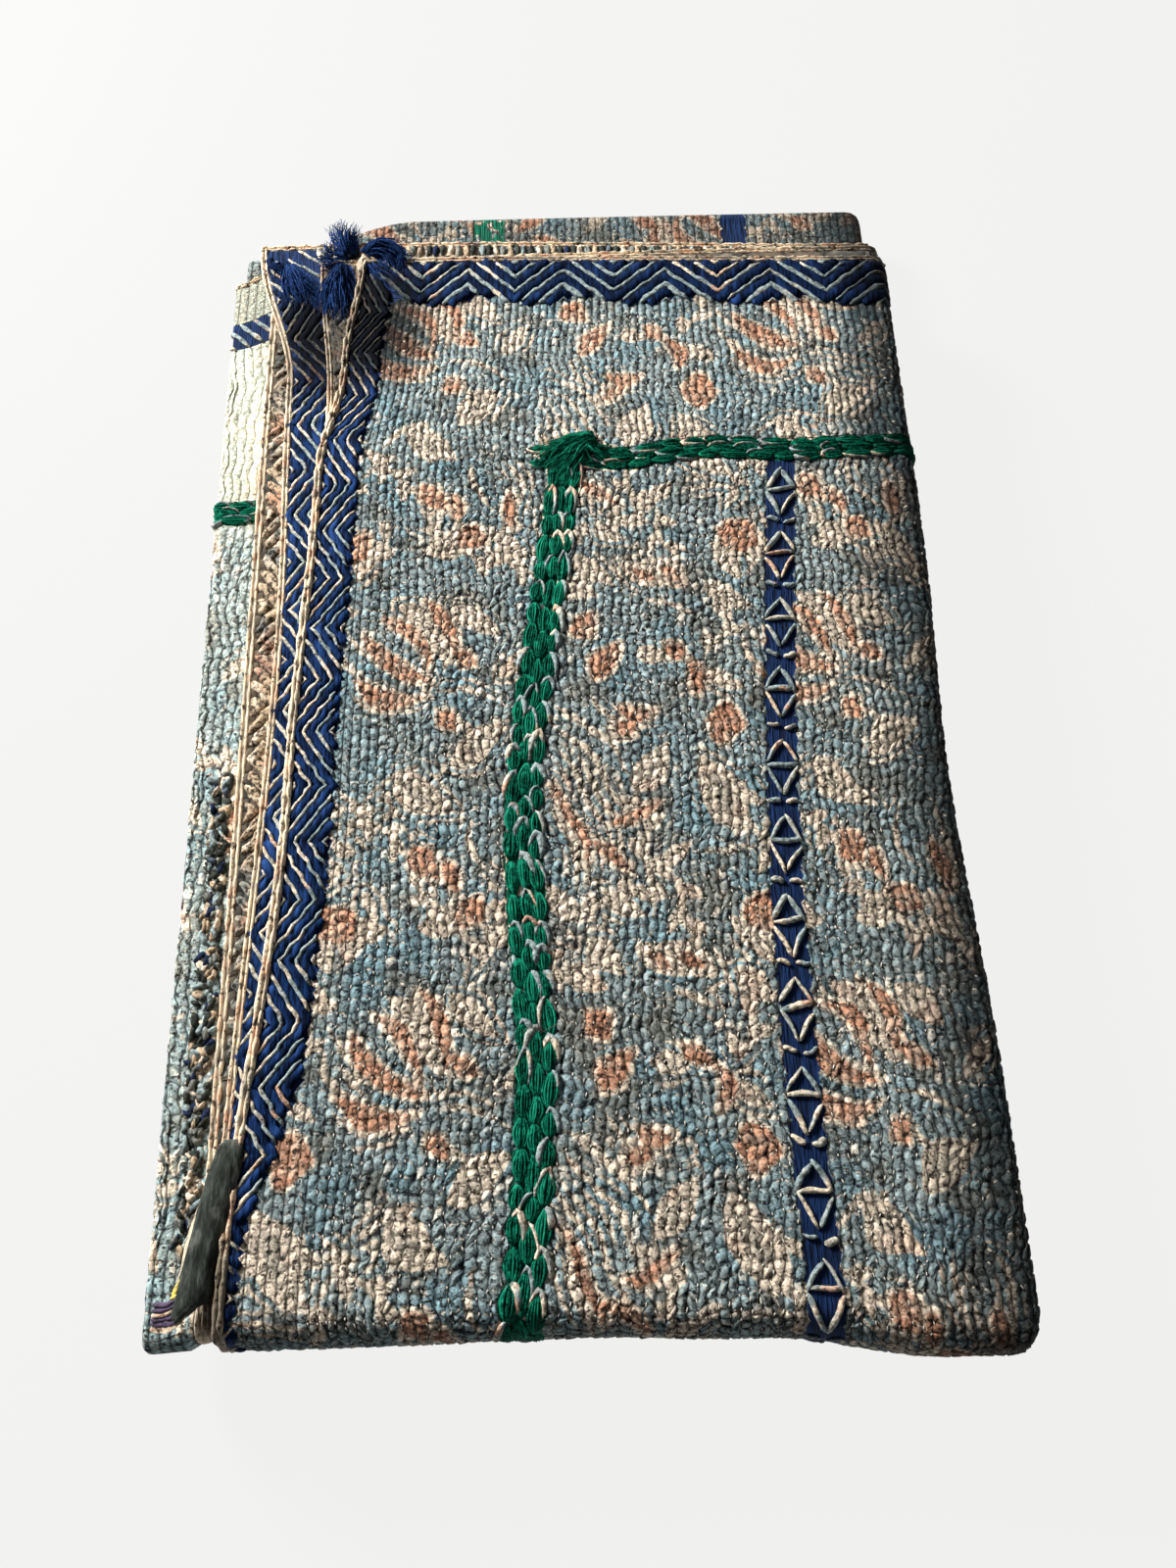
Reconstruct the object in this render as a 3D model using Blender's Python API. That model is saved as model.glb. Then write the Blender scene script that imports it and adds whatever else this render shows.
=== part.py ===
"""A kantha quilt folded in four both ways, with its loose yarn ends and a rolled mend on its hem.

Blender 4.5, metres. +Z is up, +X is right and +Y points away from the near fold. The cloth is drawn
flat, u across its width and v down its length, and each row of FOLDS turns the cloth beyond one line
under the rest. The packet is so the real back-and-forth of sixteen layers in one piece of cloth.
"""

import math
from collections import namedtuple

import bmesh
import bpy
import numpy as np
from mathutils import Vector

# ---- the flat quilt ----
FLAT_WIDTH = 1.350
FLAT_LENGTH = 2.310
CLOTH = 0.0033  # all its cottons, stitched together
GAP = 0.00045  # air between two layers of the packet
LAYERS = 16
PACKET = LAYERS * CLOTH + (LAYERS - 1) * GAP

# ---- its folds, in the order they are made ----
ACROSS, DOWN = 0, 1
Fold = namedtuple("Fold", "axis line depth")  # depth: how far the bend stands out, against its half height
FOLDS = (
    Fold(ACROSS, 0.6680, 1.00),
    Fold(DOWN, 1.1420, 1.00),
    Fold(ACROSS, 0.2990, 0.75),
    Fold(DOWN, 0.5196, 0.55),
)
FULLNESS = 0.8  # under 1 makes a bend squarer than a circle
LEFT_HEM_X = -0.130
FAR_HEM_Y = 0.239

# ---- how far each hem is drawn in, by the share of the way along it ----
LEFT_HEM = (
    (0.00, 0.024),
    (0.03, 0.017),
    (0.06, 0.006),
    (0.13, 0.000),
    (0.23, -0.015),
    (0.30, -0.024),
    (0.70, -0.022),
    (0.77, -0.026),
    (1.00, -0.027),
)
RIGHT_HEM = (
    (0.00, 0.009),
    (0.04, 0.017),
    (0.13, 0.013),
    (0.23, 0.008),
    (0.30, 0.002),
    (0.70, -0.004),
    (0.77, -0.012),
    (0.90, -0.003),
    (0.96, -0.006),
    (1.00, -0.027),
)
FAR_HEM = ((0.00, -0.003), (0.25, 0.003), (0.40, -0.012), (0.60, -0.010), (0.80, -0.008), (1.00, -0.006))
NEAR_HEM = ((0.00, 0.003), (0.25, 0.002), (0.40, -0.005), (0.60, -0.006), (0.75, 0.001), (1.00, -0.008))
HEM_REACH = 0.250  # the cloth next to a hem gives way over this far

# ---- how the packet has settled ----
# how much further the near fold reaches than it would straight, by x
NEAR_FOLD = (
    (-0.190, 0.006),
    (-0.166, 0.006),
    (-0.148, -0.003),
    (-0.100, -0.003),
    (0.000, -0.004),
    (0.070, -0.002),
    (0.150, 0.007),
    (0.172, 0.007),
    (0.186, 0.001),
)
LEFT_PRESS = (0.003, 0.006)  # the left rolls are pressed in this much at the far and the near end
RIGHT_DENT = 0.005  # and so is the right edge, most at DENT_Y
SIDE_EDGE = 0.180
DENT_Y = -0.060
DENT_SPREAD = 0.080
SWELL = 0.016  # share of the height that the top rises and falls
EDGE_SINK = 0.035  # share of the height lost at the left and far edges
SINK_REACH = 0.150
# far left corners that have slipped nearer: under what height, from what x, over how much, and how far
Slip = namedtuple("Slip", "below from_x reach slide")
SLIPS = (
    Slip(PACKET / 2, -0.080, 0.090, 0.026),
    Slip(PACKET * 3 / 4, -0.146, 0.030, 0.024),
)
SLIP_FROM_Y = 0.080
SLIP_REACH_Y = 0.210

# ---- the raised quilting of the top face ----
HEM_STEPS = (0.0, 0.004, 0.008)
HEM_FURROW = 0.0005
ROW_HEIGHT = 0.0005
PANEL_CELLS = (5, 7)  # across and down the top quarter
HIDDEN_CELLS = (4, 5)
WIDE_BEND_CELLS = 6
TIGHT_BEND_CELLS = 4
ROW_STEPS = 18  # steps over one cell across: two make a row
LENGTH_STEPS = 2

# ---- the loose yarn ends ----
YARN = 0.0022
YARN_FILL = 0.62  # an end's width against its place on the knot
YARN_STEPS = 5
YARN_LIFT = 0.0010
YARN_SWAY = 0.0008
KNOT_LENGTH = 0.003
KNOT_EDGE = 0.0004
# x and y of the knot's front, the layer that it lies on, how far above it, and the ends' heading and size
Tuft = namedtuple("Tuft", "name x y layer clear heading length rise columns rows spread")
INDIGO_TUFTS = (
    Tuft("corner_tuft_back", -0.1100, 0.2470, 2, 0.0040, 100, 0.030, 0.005, 7, 2, 0.020),
    Tuft("corner_tuft_down", -0.1150, 0.2360, 1, 0.0006, 262, 0.036, 0.004, 6, 2, 0.008),
    Tuft("second_tuft", -0.1460, 0.2430, 2, 0.0001, 282, 0.030, 0.004, 6, 2, 0.006),
)
GREEN_TUFT = Tuft("frame_tuft", 0.0120, 0.1200, 0, 0.0010, 197, 0.028, 0.002, 5, 2, 0.007)

# ---- the rolled mend ----
# its section, as (distance in from the hem, height over the middle of the cloth)
MEND_SECTION = (
    (0.0060, 0.0024),
    (0.0052, 0.0044),
    (0.0000, 0.0062),
    (-0.0055, 0.0060),
    (-0.0092, 0.0034),
    (-0.0100, -0.0006),
    (-0.0080, -0.0042),
    (-0.0035, -0.0052),
    (-0.0006, -0.0044),
    (-0.0006, 0.0024),
)
# its stations, as (distance down the flat cloth, share of the section's full size)
MEND_RUN = ((0.450, 0.35), (0.462, 0.70), (0.476, 0.92), (0.492, 1.00), (0.508, 1.00), (0.520, 0.90))
MEND_WAIST = (-0.0006, 0.0024)  # the section shrinks towards this corner, against the hem

# ---- colours ----
SLATE = (0.13, 0.19, 0.21, 1)
INDIGO = (0.012, 0.030, 0.120, 1)
GREEN = (0.004, 0.100, 0.060, 1)
CHARCOAL = (0.025, 0.030, 0.026, 1)


def clear_scene():
    for leftover in list(bpy.data.objects):
        bpy.data.objects.remove(leftover, do_unlink=True)


def cloth_material(name, colour):
    material = bpy.data.materials.new(name)
    material.use_nodes = True
    shader = material.node_tree.nodes["Principled BSDF"]
    shader.inputs["Base Color"].default_value = colour
    shader.inputs["Roughness"].default_value = 0.9
    shader.inputs["Metallic"].default_value = 0.0
    return material


def add_object(name, form, material):
    mesh = bpy.data.meshes.new(name)
    bmesh.ops.recalc_face_normals(form, faces=form.faces)
    form.to_mesh(mesh)
    form.free()
    mesh.materials.append(material)
    thing = bpy.data.objects.new(name, mesh)
    bpy.context.scene.collection.objects.link(thing)
    return thing


# ---- where the cloth lies ----


def eased(share, table):
    """The table's value at this share of the way, with an easy curve between its rows."""
    shares, values = np.array(table).T
    row = np.clip(np.searchsorted(shares, share, side="right") - 1, 0, len(shares) - 2)
    way = np.clip((share - shares[row]) / (shares[row + 1] - shares[row]), 0, 1)
    return values[row] + (values[row + 1] - values[row]) * (1 - np.cos(math.pi * way)) / 2


def drawn_in(u, v):
    """The flat place of a point once the uneven hems are drawn in."""
    near_left = np.clip(1 - u / HEM_REACH, 0, 1) ** 2
    near_right = np.clip(1 - (FLAT_WIDTH - u) / HEM_REACH, 0, 1) ** 2
    near_far = np.clip(1 - v / HEM_REACH, 0, 1) ** 2
    near_near = np.clip(1 - (FLAT_LENGTH - v) / HEM_REACH, 0, 1) ** 2
    along, across = v / FLAT_LENGTH, u / FLAT_WIDTH
    return (
        u + near_left * eased(along, LEFT_HEM) - near_right * eased(along, RIGHT_HEM),
        v + near_far * eased(across, FAR_HEM) - near_near * eased(across, NEAR_HEM),
    )


def squared(value):
    return math.copysign(abs(value) ** FULLNESS, value)


def turned_under(along, height, fold, thickness):
    """The place and height of a point once the slab beyond the fold's line is turned under the rest."""
    radius = (thickness + GAP) / 2
    turn = min(max((along - fold.line) / radius, 0), math.pi)
    beyond = max(along - fold.line - math.pi * radius, 0)
    arm = radius + height
    place = min(along, fold.line) + fold.depth * arm * squared(math.sin(turn)) - beyond
    return place, arm * squared(math.cos(turn))


def swollen(x, y):
    """The share of its height that the packet keeps here: it swells a little and sinks at two edges."""
    wave = SWELL * math.sin(11 * x + 9 * y + 0.6) * math.cos(8 * y - 5 * x)
    left = min(max((-0.030 - x) / SINK_REACH, 0), 1)
    far = min(max((y - 0.140) / SINK_REACH, 0), 1)
    return 1 + wave - EDGE_SINK * (left * left + far * far)


def slipped(x, y, z):
    """How much nearer the cloth lies than its square corner would."""
    for slip in SLIPS:
        if z < slip.below:
            way_left = min(max((slip.from_x - x) / slip.reach, 0), 1)
            way_far = min(max((y - SLIP_FROM_Y) / SLIP_REACH_Y, 0), 1)
            return slip.slide * math.sin(math.pi / 2 * way_left) ** 2 * way_far**2
    return 0


def pressed(x, y):
    """The plan shape of the edges: the near fold's curve, the left rolls and the dent at the right."""
    way_near = min(max((FAR_HEM_Y - y) / FOLDS[-1].line, 0), 1)
    to_left = min(max(-x / SIDE_EDGE, 0), 1) ** 2
    to_right = min(max(x / SIDE_EDGE, 0), 1) ** 2
    dent = RIGHT_DENT * math.exp(-(((y - DENT_Y) / DENT_SPREAD) ** 2))
    press = LEFT_PRESS[0] + (LEFT_PRESS[1] - LEFT_PRESS[0]) * way_near
    return x + press * to_left - dent * to_right, y - float(eased(x, NEAR_FOLD)) * way_near


def packet_point(u, v, rise):
    """Where a point of the flat cloth lies in the packet; rise is its height over the cloth's middle."""
    across, down = drawn_in(u, v)
    place = [float(across), float(down)]
    height, thickness = rise, CLOTH
    for fold in FOLDS:
        place[fold.axis], height = turned_under(place[fold.axis], height, fold, thickness)
        thickness = 2 * thickness + GAP
    x, y = pressed(LEFT_HEM_X + place[ACROSS], FAR_HEM_Y - place[DOWN])
    z = height + thickness / 2
    y -= slipped(x, y, z)
    return Vector((x, y, z * swollen(x, y)))


# ---- the lattice of the cloth ----


def bends(axis):
    """The three bends met along this axis of the flat cloth, in order, as (start, end, cells)."""
    found, thickness = [], CLOTH
    for fold in FOLDS:
        if fold.axis == axis:
            found.append((fold.line, math.pi * (thickness + GAP) / 2))
        thickness = 2 * thickness + GAP
    (half, half_arc), (quarter, quarter_arc) = found
    mirror = 2 * half + half_arc
    return [
        (quarter, quarter + quarter_arc, WIDE_BEND_CELLS),
        (half, half + half_arc, TIGHT_BEND_CELLS),
        (mirror - quarter - quarter_arc, mirror - quarter, WIDE_BEND_CELLS),
    ]


def stations(axis, whole):
    """The lattice lines across this axis, and the numbers of the cells that the top quarter covers."""
    lines = list(HEM_STEPS)
    first_top = len(lines) - 1
    panel_cells = PANEL_CELLS[axis]
    for start, end, bend_cells in bends(axis):
        lines += list(np.linspace(lines[-1], start, panel_cells + 1)[1:])
        lines += list(np.linspace(start, end, bend_cells + 1)[1:])
        panel_cells = HIDDEN_CELLS[axis]
    lines += list(np.linspace(lines[-1], whole - HEM_STEPS[-1], panel_cells + 1)[1:])
    lines += [whole - step for step in reversed(HEM_STEPS[:-1])]
    return lines, range(first_top, first_top + PANEL_CELLS[axis])


class Lattice:
    """A two-sided sheet of cells. One on the front may be cut finer: its neighbours take its points in."""

    def __init__(self):
        self.across, self.top_across = stations(ACROSS, FLAT_WIDTH)
        self.down, self.top_down = stations(DOWN, FLAT_LENGTH)
        self.form = bmesh.new()
        self.points = {}

    def steps(self, side, i, j):
        """How many steps a cell has across and down."""
        if side < 0 or i not in self.top_across:
            return 1, 1
        if j in self.top_down:
            return ROW_STEPS, LENGTH_STEPS
        first_bend = self.top_down.stop
        if first_bend <= j < first_bend + WIDE_BEND_CELLS // 2:
            return ROW_STEPS, 1
        return 1, 1

    def flat_place(self, lines, fine, steps):
        cell, part = divmod(fine, steps)
        if part == 0:
            return lines[cell]
        return lines[cell] + (lines[cell + 1] - lines[cell]) * part / steps

    def rise(self, side, u, v, fine_across, fine_down):
        """Height over the cloth's middle, with the hem's furrow and the top face's quilted rows."""
        to_hem = min(u, v, FLAT_WIDTH - u, FLAT_LENGTH - v)
        outward = CLOTH / 2
        if abs(to_hem) < 1e-6 or abs(to_hem - HEM_STEPS[-1]) < 1e-6:
            outward -= HEM_FURROW
        i, j = fine_across // ROW_STEPS, fine_down // LENGTH_STEPS
        inner = self.steps(side, i, j)[0] > 1 and self.steps(side, i - 1, j)[0] > 1
        if inner or (fine_across % ROW_STEPS and self.steps(side, i, j)[0] > 1):
            crest = 1 if fine_across % 2 else -1
            fullness = 0.75 + 0.25 * math.sin(61 * u + 23 * v) * math.cos(37 * v - 19 * u)
            outward += crest * ROW_HEIGHT * fullness
        return side * outward

    def point(self, side, fine_across, fine_down):
        key = side, fine_across, fine_down
        if key not in self.points:
            u = self.flat_place(self.across, fine_across, ROW_STEPS)
            v = self.flat_place(self.down, fine_down, LENGTH_STEPS)
            place = packet_point(u, v, self.rise(side, u, v, fine_across, fine_down))
            self.points[key] = self.form.verts.new(place)
        return self.points[key]

    def edge_across(self, side, i, j):
        """Points along the lattice line j over cell i, its two ends included."""
        steps = max(self.steps(side, i, j)[0], self.steps(side, i, j - 1)[0])
        stride = ROW_STEPS // steps
        first = i * ROW_STEPS
        return [self.point(side, first + k * stride, j * LENGTH_STEPS) for k in range(steps + 1)]

    def edge_down(self, side, i, j):
        """Points along the lattice line i over cell j, its two ends included."""
        steps = max(self.steps(side, i, j)[1], self.steps(side, i - 1, j)[1])
        stride = LENGTH_STEPS // steps
        first = j * LENGTH_STEPS
        return [self.point(side, i * ROW_STEPS, first + k * stride) for k in range(steps + 1)]

    def add_cell(self, side, i, j):
        across, down = self.steps(side, i, j)
        if (across, down) == (1, 1):
            ring = self.edge_across(side, i, j)[:-1] + self.edge_down(side, i + 1, j)[:-1]
            ring += self.edge_across(side, i, j + 1)[:0:-1] + self.edge_down(side, i, j)[:0:-1]
            self.form.faces.new(ring)
            return
        stride_across, stride_down = ROW_STEPS // across, LENGTH_STEPS // down
        for a in range(across):
            for b in range(down):
                left = i * ROW_STEPS + a * stride_across
                top = j * LENGTH_STEPS + b * stride_down
                right, bottom = left + stride_across, top + stride_down
                corners = [(left, top), (right, top), (right, bottom), (left, bottom)]
                self.form.faces.new([self.point(side, *corner) for corner in corners])

    def add_rim(self):
        """The four narrow faces of the hem that join the front to the back."""
        last_across, last_down = len(self.across) - 1, len(self.down) - 1
        for i in range(last_across):
            for j in (0, last_down):
                front, back = self.edge_across(1, i, j), self.edge_across(-1, i, j)
                self.form.faces.new(front + back[::-1])
        for j in range(last_down):
            for i in (0, last_across):
                front, back = self.edge_down(1, i, j), self.edge_down(-1, i, j)
                self.form.faces.new(front + back[::-1])

    def build(self):
        for side in (1, -1):
            for i in range(len(self.across) - 1):
                for j in range(len(self.down) - 1):
                    self.add_cell(side, i, j)
        self.add_rim()
        return self.form


def make_quilt(material):
    return add_object("quilt", Lattice().build(), material)


# ---- loose yarn ends ----


def layer_top(layer, x, y):
    """The height of a layer's upper face, counted down from the top layer, 0."""
    return (PACKET - layer * (CLOTH + GAP)) * swollen(x, y)


def directions(tuft):
    heading = math.radians(tuft.heading)
    forward = Vector((math.cos(heading), math.sin(heading), 0))
    return forward, Vector((-forward.y, forward.x, 0))


def add_yarn(form, base, tuft, column, row):
    """One yarn end, drawn out from the four corners of its place on the knot to a thin tip."""
    forward, sideways = directions(tuft)
    middle = sum((corner.co for corner in base), Vector()) / 4
    lateral = (column + 0.5) / tuft.columns - 0.5
    length = tuft.length * (1 - 0.35 * abs(lateral) - 0.12 * ((3 * column + row) % 3))
    ring = base
    for step in range(YARN_STEPS + 1):
        way = step / YARN_STEPS
        size = YARN_FILL * (1 - 0.55 * way)
        level = tuft.rise * math.sin(math.pi * way) + row * YARN_LIFT * way
        sway = lateral * tuft.spread * way + YARN_SWAY * math.sin(5 * way + column + 2 * row)
        out = max(length * way, KNOT_EDGE)
        centre = middle + forward * out + sideways * sway + Vector((0, 0, level))
        corners = [form.verts.new(centre + (corner.co - middle) * size) for corner in base]
        for a in range(4):
            b = (a + 1) % 4
            form.faces.new([ring[a], ring[b], corners[b], corners[a]])
        ring = corners
    form.faces.new(ring)


def make_tuft(tuft, material):
    """Yarn ends that leave one flat knot side by side and spread apart."""
    form = bmesh.new()
    forward, sideways = directions(tuft)
    root = Vector((tuft.x, tuft.y, layer_top(tuft.layer, tuft.x, tuft.y) + tuft.clear))
    knot = {}
    for back in (0, 1):
        for column in range(tuft.columns + 1):
            for row in range(tuft.rows + 1):
                side = (column - tuft.columns / 2) * YARN
                place = root - forward * KNOT_LENGTH * back + sideways * side
                knot[back, column, row] = form.verts.new(place + Vector((0, 0, row * YARN)))
    ring = [(column, 0) for column in range(tuft.columns)]
    ring += [(tuft.columns, row) for row in range(tuft.rows)]
    ring += [(column, tuft.rows) for column in range(tuft.columns, 0, -1)]
    ring += [(0, row) for row in range(tuft.rows, 0, -1)]
    for here, there in zip(ring, ring[1:] + ring[:1]):
        form.faces.new([knot[0, *here], knot[0, *there], knot[1, *there], knot[1, *here]])
    for column in range(tuft.columns):
        for row in range(tuft.rows):
            corners = [(column, row), (column + 1, row), (column + 1, row + 1), (column, row + 1)]
            form.faces.new([knot[1, *corner] for corner in corners])
            add_yarn(form, [knot[0, *corner] for corner in corners], tuft, column, row)
    return add_object(tuft.name, form, material)


# ---- the rolled mend ----


def make_mend(material):
    """A strip of cloth rolled round the hem, thin where it starts and blunt at the near fold."""
    form = bmesh.new()
    rings = []
    for down, size in MEND_RUN:
        ring = []
        for out, rise in MEND_SECTION:
            u = MEND_WAIST[0] + (out - MEND_WAIST[0]) * size
            height = MEND_WAIST[1] + (rise - MEND_WAIST[1]) * size
            ring.append(form.verts.new(packet_point(u, down, height)))
        rings.append(ring)
    count = len(MEND_SECTION)
    for ring, following in zip(rings, rings[1:]):
        for a in range(count):
            b = (a + 1) % count
            form.faces.new([ring[a], ring[b], following[b], following[a]])
    form.faces.new(rings[0])
    form.faces.new(rings[-1])
    return add_object("rolled_mend", form, material)


def main():
    clear_scene()
    make_quilt(cloth_material("quilted_cotton", SLATE))
    indigo = cloth_material("indigo_yarn", INDIGO)
    green = cloth_material("green_yarn", GREEN)
    for tuft in INDIGO_TUFTS:
        make_tuft(tuft, indigo)
    make_tuft(GREEN_TUFT, green)
    make_mend(cloth_material("charcoal_cotton", CHARCOAL))


main()
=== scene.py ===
"""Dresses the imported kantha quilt: its printed face, lining, yarn bands, hems, loose ends and rolled mend.

The cloth is drawn flat, u across its width and v down its length, and is folded by the same rules
as the solid, so every piece here lies on the packet. Metres throughout, +Z up.
"""

import math
from collections import namedtuple

import bpy
import numpy as np
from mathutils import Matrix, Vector


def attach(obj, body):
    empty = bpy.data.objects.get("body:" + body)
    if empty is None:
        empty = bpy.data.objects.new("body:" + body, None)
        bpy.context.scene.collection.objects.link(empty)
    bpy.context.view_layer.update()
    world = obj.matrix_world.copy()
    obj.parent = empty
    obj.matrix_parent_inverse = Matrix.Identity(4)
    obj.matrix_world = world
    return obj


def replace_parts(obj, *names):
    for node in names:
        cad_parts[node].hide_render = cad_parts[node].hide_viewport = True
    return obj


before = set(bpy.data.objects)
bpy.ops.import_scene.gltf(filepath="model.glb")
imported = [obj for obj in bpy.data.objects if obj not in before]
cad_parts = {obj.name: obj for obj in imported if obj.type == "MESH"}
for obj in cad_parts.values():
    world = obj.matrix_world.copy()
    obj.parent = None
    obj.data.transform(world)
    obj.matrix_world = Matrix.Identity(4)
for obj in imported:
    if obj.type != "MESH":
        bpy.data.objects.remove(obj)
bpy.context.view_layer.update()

bl_info = {
    "name": "Folded Kantha Quilt",
    "version": (1, 0, 0),
    "blender": (4, 5, 0),
    "location": "View3D > Sidebar > Quilt",
    "description": "Dresses a folded kantha quilt with its print, yarn bands, hems and loose ends",
    "category": "Object",
}

# ---- the flat quilt and its folds ----
FLAT_WIDTH = 1.350
FLAT_LENGTH = 2.310
CLOTH = 0.0033
GAP = 0.00045
PACKET = 16 * CLOTH + 15 * GAP
ACROSS, DOWN = 0, 1
Fold = namedtuple("Fold", "axis line depth")
FOLDS = (
    Fold(ACROSS, 0.6680, 1.00),
    Fold(DOWN, 1.1420, 1.00),
    Fold(ACROSS, 0.2990, 0.75),
    Fold(DOWN, 0.5196, 0.55),
)
FULLNESS = 0.8
LEFT_HEM_X = -0.130
FAR_HEM_Y = 0.239
LEFT_HEM = (
    (0.00, 0.024),
    (0.03, 0.017),
    (0.06, 0.006),
    (0.13, 0.000),
    (0.23, -0.015),
    (0.30, -0.024),
    (0.70, -0.022),
    (0.77, -0.026),
    (1.00, -0.027),
)
RIGHT_HEM = (
    (0.00, 0.009),
    (0.04, 0.017),
    (0.13, 0.013),
    (0.23, 0.008),
    (0.30, 0.002),
    (0.70, -0.004),
    (0.77, -0.012),
    (0.90, -0.003),
    (0.96, -0.006),
    (1.00, -0.027),
)
FAR_HEM = ((0.00, -0.003), (0.25, 0.003), (0.40, -0.012), (0.60, -0.010), (0.80, -0.008), (1.00, -0.006))
NEAR_HEM = ((0.00, 0.003), (0.25, 0.002), (0.40, -0.005), (0.60, -0.006), (0.75, 0.001), (1.00, -0.008))
HEM_REACH = 0.250
NEAR_FOLD = (
    (-0.190, 0.006),
    (-0.166, 0.006),
    (-0.148, -0.003),
    (-0.100, -0.003),
    (0.000, -0.004),
    (0.070, -0.002),
    (0.150, 0.007),
    (0.172, 0.007),
    (0.186, 0.001),
)
LEFT_PRESS = (0.003, 0.006)
RIGHT_DENT = 0.005
SIDE_EDGE = 0.180
DENT_Y = -0.060
DENT_SPREAD = 0.080
SWELL = 0.016
EDGE_SINK = 0.035
SINK_REACH = 0.150
Slip = namedtuple("Slip", "below from_x reach slide")
SLIPS = (Slip(PACKET / 2, -0.080, 0.090, 0.026), Slip(PACKET * 3 / 4, -0.146, 0.030, 0.024))
SLIP_FROM_Y = 0.080
SLIP_REACH_Y = 0.210

# ---- the yarn bands, by place on the flat cloth ----
HEM_WIDTH = 0.0032
SIDE_BORDER = 0.0225
END_BORDER = 0.0305
# the green band's middle: how far down, how far across; then its arm's: how far across, how far down
GREEN_LINE = (
    (0.128, 0.1320),
    (0.166, 0.1275),
    (0.195, 0.1239),
    (0.221, 0.1202),
    (0.247, 0.1169),
    (0.272, 0.1132),
    (0.296, 0.1112),
    (0.319, 0.1100),
    (0.343, 0.1100),
    (0.365, 0.1118),
    (0.387, 0.1138),
    (0.428, 0.1172),
    (0.467, 0.1166),
    (0.504, 0.1142),
    (0.530, 0.1110),
    (0.600, 0.1100),
)
GREEN_ARM = (
    (0.110, 0.1300),
    (0.163, 0.1318),
    (0.184, 0.1275),
    (0.204, 0.1254),
    (0.243, 0.1263),
    (0.282, 0.1238),
)
BLUE_LINE = (
    (0.130, 0.2405),
    (0.167, 0.2376),
    (0.195, 0.2350),
    (0.222, 0.2331),
    (0.273, 0.2302),
    (0.320, 0.2276),
    (0.365, 0.2249),
    (0.428, 0.2240),
    (0.466, 0.2242),
    (0.503, 0.2254),
    (0.600, 0.2240),
)
SECOND_GREEN = 0.530  # further bands, seen only on the far roll
SECOND_BLUE = 0.388
ROLL_GREEN = 0.036  # how much nearer the arm crosses the left roll
ROLL_HALF = 0.060  # half the width of the flat cloth that the roll takes up
GREEN_HALF = 0.0088
BLUE_HALF = 0.0070
BLUE_REPEAT = 0.0366
BLUE_FIRST = 0.2117  # a peak of the blue band's diamonds
PATCH_END = 0.0425  # an indigo patch on the left roll: how far from the near hem, and its half depth
PATCH_HALF = 0.0095
PATCH_SIDE = 0.040
# a zigzag's period, its slope, its lines' spacing across, and where it touches the hem
SIDE_ZIGZAG = (0.0532, 0.72, 0.0068, 0.1699)
END_ZIGZAG = (0.0580, 0.84, 0.0098, 0.1290)
LINING_ZIGZAG = (0.0532, 0.72, 0.0058, 0.150)
ZIGZAG_WOBBLE = ((0.00045, 900, 5, 0), (0.00035, 2100, 1, 0))
BORDER_START = 0.006
LEFT_BORDER_END = 0.560
UNDER_BORDER_END = 0.520
FAR_BORDER_END = 0.318
BAND_START = 0.128  # how far from the end hems the straight bands begin
SECOND_BAND_START = 0.124
LAST_CORNER = 0.050  # how far the near border runs in from the right hem
LAST_CORNER_END = 0.052
LINING_RUNS = ((0.010, FOLDS[-1].line), (1.780, 2.290))  # where the back's right and left borders show
# the share of its depth that the left border loses, and where that starts, is full, begins to end and ends
BORDER_NARROWS = (0.69, 0.425, 0.505, 0.560, 0.620)

# ---- the left roll's painted highlight: its cloth is painted paler where the key light falls on it ----
PALE_SHARE = 0.76
PALE_OFFSET = 0.006  # how far its middle lies past the fold
PALE_EDGE = (0.020, 0.034)
PALE_END = (0.145, 0.195)  # how far from the end hem it fades
PALE_LOSS = 0.80

# ---- slow waves over the flat cloth: each one's height, turns across and down, and start ----
WANDER_ACROSS = (
    (0.0017, 20, 33, 0),
    (0.0011, -52, 76, 1.0),
    (0.0006, 37, 171, 2.0),
    (0.0006, 60, 410, 0.4),
    (0.0004, -110, 930, 0),
)
WANDER_DOWN = (
    (0.0020, 57, 23, 0),
    (0.0014, 134, 31, 0.7),
    (0.0010, 263, -57, 2.1),
    (0.0008, 520, 70, 0),
    (0.0006, 1130, -150, 1.3),
)
PRINT_WAVES = ((0.0014, 60, 160, 0), (0.0014, 140, -70, 1))
GREEN_WAVES = ((0.0011, 0, 460, 1),)
BLUE_WAVES = ((0.0007, 0, 690, 0), (0.0006, 0, 1630, 1))
SIDE_WAVES = ((0.0013, 0, 670, 0), (0.0008, 0, 1510, 1))
FAR_WAVES = ((0.0026, 108, 0, 2), (0.0018, 540, 0, 0), (0.0010, 1190, 0, 2))

# ---- places on the packet round which shade is painted into the cloth: the tufts' shadow at the frayed corner and the mend's shadow ----
FRAYED_CORNER = (-0.110, 0.198)
MEND_PLACE = (-0.143, -0.272)

# ---- the print: one repeat of its flowers and leaves ----
PRINT_REPEAT = (0.188, 0.187)
PRINT_START = (0.0725, 0.2475)
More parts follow.
